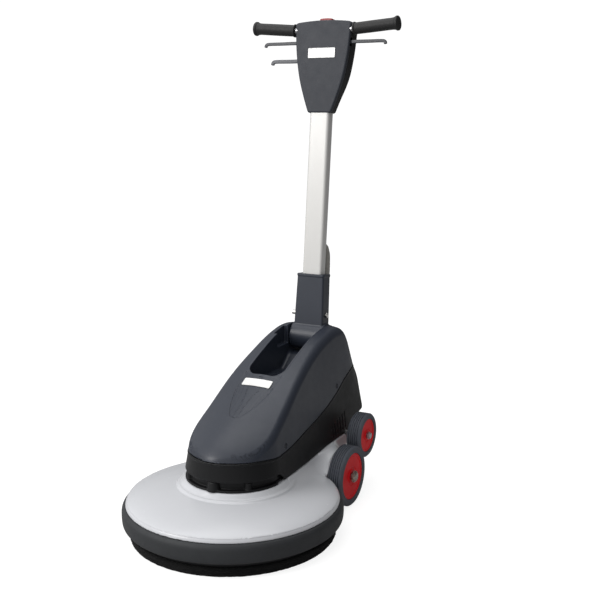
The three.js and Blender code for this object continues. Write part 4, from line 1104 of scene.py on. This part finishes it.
# ------------------------------------------------- pieces kept from the CAD frame
for name, look, width in (      # width of the edge bevel
        ("cooling_fan", BLACK, 0.4), ("capacitor_bracket", STEEL, 0.3),
        ("terminal_box", BLACK, 1.2), ("pivot_bracket", STEEL, 0.8),
        ("axle_bracket_right", STEEL, 0.8), ("axle_bracket_left", STEEL, 0.8),
        ("release_rod", STEEL, 0), ("micro_switch", BLACK, 0.8), ("power_inlet", BLACK, 0.8)):
    piece = NODES[name]
    piece.data.materials.clear()
    piece.data.materials.append(look[0])
    if width:
        bevel = piece.modifiers.new("edges", "BEVEL")
        bevel.width = width * MM
        bevel.segments = 2
        bevel.limit_method = "ANGLE"
        bevel.angle_limit = math.radians(40)
        piece.modifiers.new("shade", "WEIGHTED_NORMAL").keep_sharp = True


# ------------------------------------------------------ stage, lights and camera
def stage_floor():
    """White floor that glows, more so as the camera sees it."""
    half = 6
    mesh = bpy.data.meshes.new("floor")
    mesh.from_pydata([(-half, -half, 0), (half, -half, 0), (half, half, 0), (-half, half, 0)],
                     [], [(0, 1, 2, 3)])
    floor = bpy.data.objects.new("floor", mesh)
    bpy.context.scene.collection.objects.link(floor)
    floor.location.z = -0.0004
    paper = bpy.data.materials.new("floor_paper")
    paper.use_nodes = True
    tree = paper.node_tree
    tree.nodes.remove(tree.nodes["Principled BSDF"])
    matt = node(tree, "BsdfDiffuse", {"Color": (0.92, 0.92, 0.92, 1)})
    seen = node(tree, "LightPath").outputs["Is Camera Ray"]
    strength = node(tree, "MapRange", {"To Min": 0.15, "To Max": 1.35, "Value": seen})
    glow = node(tree, "Emission", {"Strength": strength.outputs["Result"]})
    mixed = node(tree, "MixShader", {"Fac": 0.62, 1: matt.outputs[0], 2: glow.outputs[0]})
    feed(tree.nodes["Material Output"], {"Surface": mixed.outputs[0]})
    mesh.materials.append(paper)


def studio_world():
    """White surroundings, brighter from the front left and above; even to the camera."""
    world = bpy.data.worlds.new("studio")
    bpy.context.scene.world = world
    world.use_nodes = True
    tree = world.node_tree
    facing = node(tree, "VectorMath", {
        0: node(tree, "TexCoord").outputs["Generated"],
        1: Vector((-0.55, -0.62, 0.56)).normalized()}, operation="DOT_PRODUCT")
    lit = node(tree, "MapRange", {
        "From Min": -0.35, "From Max": 1.0, "To Min": 0.11, "To Max": 1.05,
        "Value": facing.outputs["Value"]}, interpolation_type="SMOOTHSTEP")
    strength = node(tree, "Mix", {
        0: node(tree, "LightPath").outputs["Is Camera Ray"], 2: lit.outputs["Result"],
        3: 1.05}, data_type="FLOAT")
    feed(tree.nodes["Background"], {"Strength": strength.outputs[0], "Color": (1, 1, 1, 1)})


def area_light(name, place, target, size, power, colour=(1, 1, 1)):
    light = bpy.data.lights.new(name, "AREA")
    light.shape = "RECTANGLE"
    light.size = light.size_y = size
    light.energy = power
    light.color = colour
    lamp = bpy.data.objects.new(name, light)
    bpy.context.scene.collection.objects.link(lamp)
    lamp.location = place
    aim = Vector(target) - Vector(place)
    lamp.rotation_euler = aim.to_track_quat("-Z", "Y").to_euler()


def place_camera(place, yaw, pitch, roll, lens):
    """Camera turned by yaw from +y, pitched down and rolled, in radians."""
    data = bpy.data.cameras.new("camera")
    camera = bpy.data.objects.new("camera", data)
    bpy.context.scene.collection.objects.link(camera)
    level = Vector((-math.sin(yaw), math.cos(yaw), 0))
    right = Vector((math.cos(yaw), math.sin(yaw), 0))
    down = Vector((0, 0, -1))
    view = level * math.cos(pitch) + down * math.sin(pitch)
    low = down * math.cos(pitch) - level * math.sin(pitch)
    rolled_right = right * math.cos(roll) + low * math.sin(roll)
    rolled_low = -right * math.sin(roll) + low * math.cos(roll)
    rows = [(rolled_right[i], -rolled_low[i], -view[i], place[i]) for i in range(3)]
    camera.matrix_world = Matrix((*rows, (0, 0, 0, 1)))
    data.sensor_width = 36
    data.sensor_fit = "HORIZONTAL"
    data.lens = lens
    data.clip_start = 0.02
    data.clip_end = 50
    bpy.context.scene.camera = camera


stage_floor()
studio_world()
area_light("key", place=(-1.9, -2.6, 2.3), target=(0, 0.1, 0.35), size=1.8, power=62,
           colour=(1.0, 0.985, 0.97))
area_light("top", place=(-0.3, 0.2, 3.0), target=(0, 0.1, 0.2), size=2.4, power=26)
place_camera(place=(1.2054954, -1.9483848, 1.0364747), yaw=0.4818, pitch=0.1976, roll=0.0036,
             lens=59.286)
bpy.context.scene.view_settings.view_transform = "Standard"
bpy.context.scene.view_settings.look = "None"
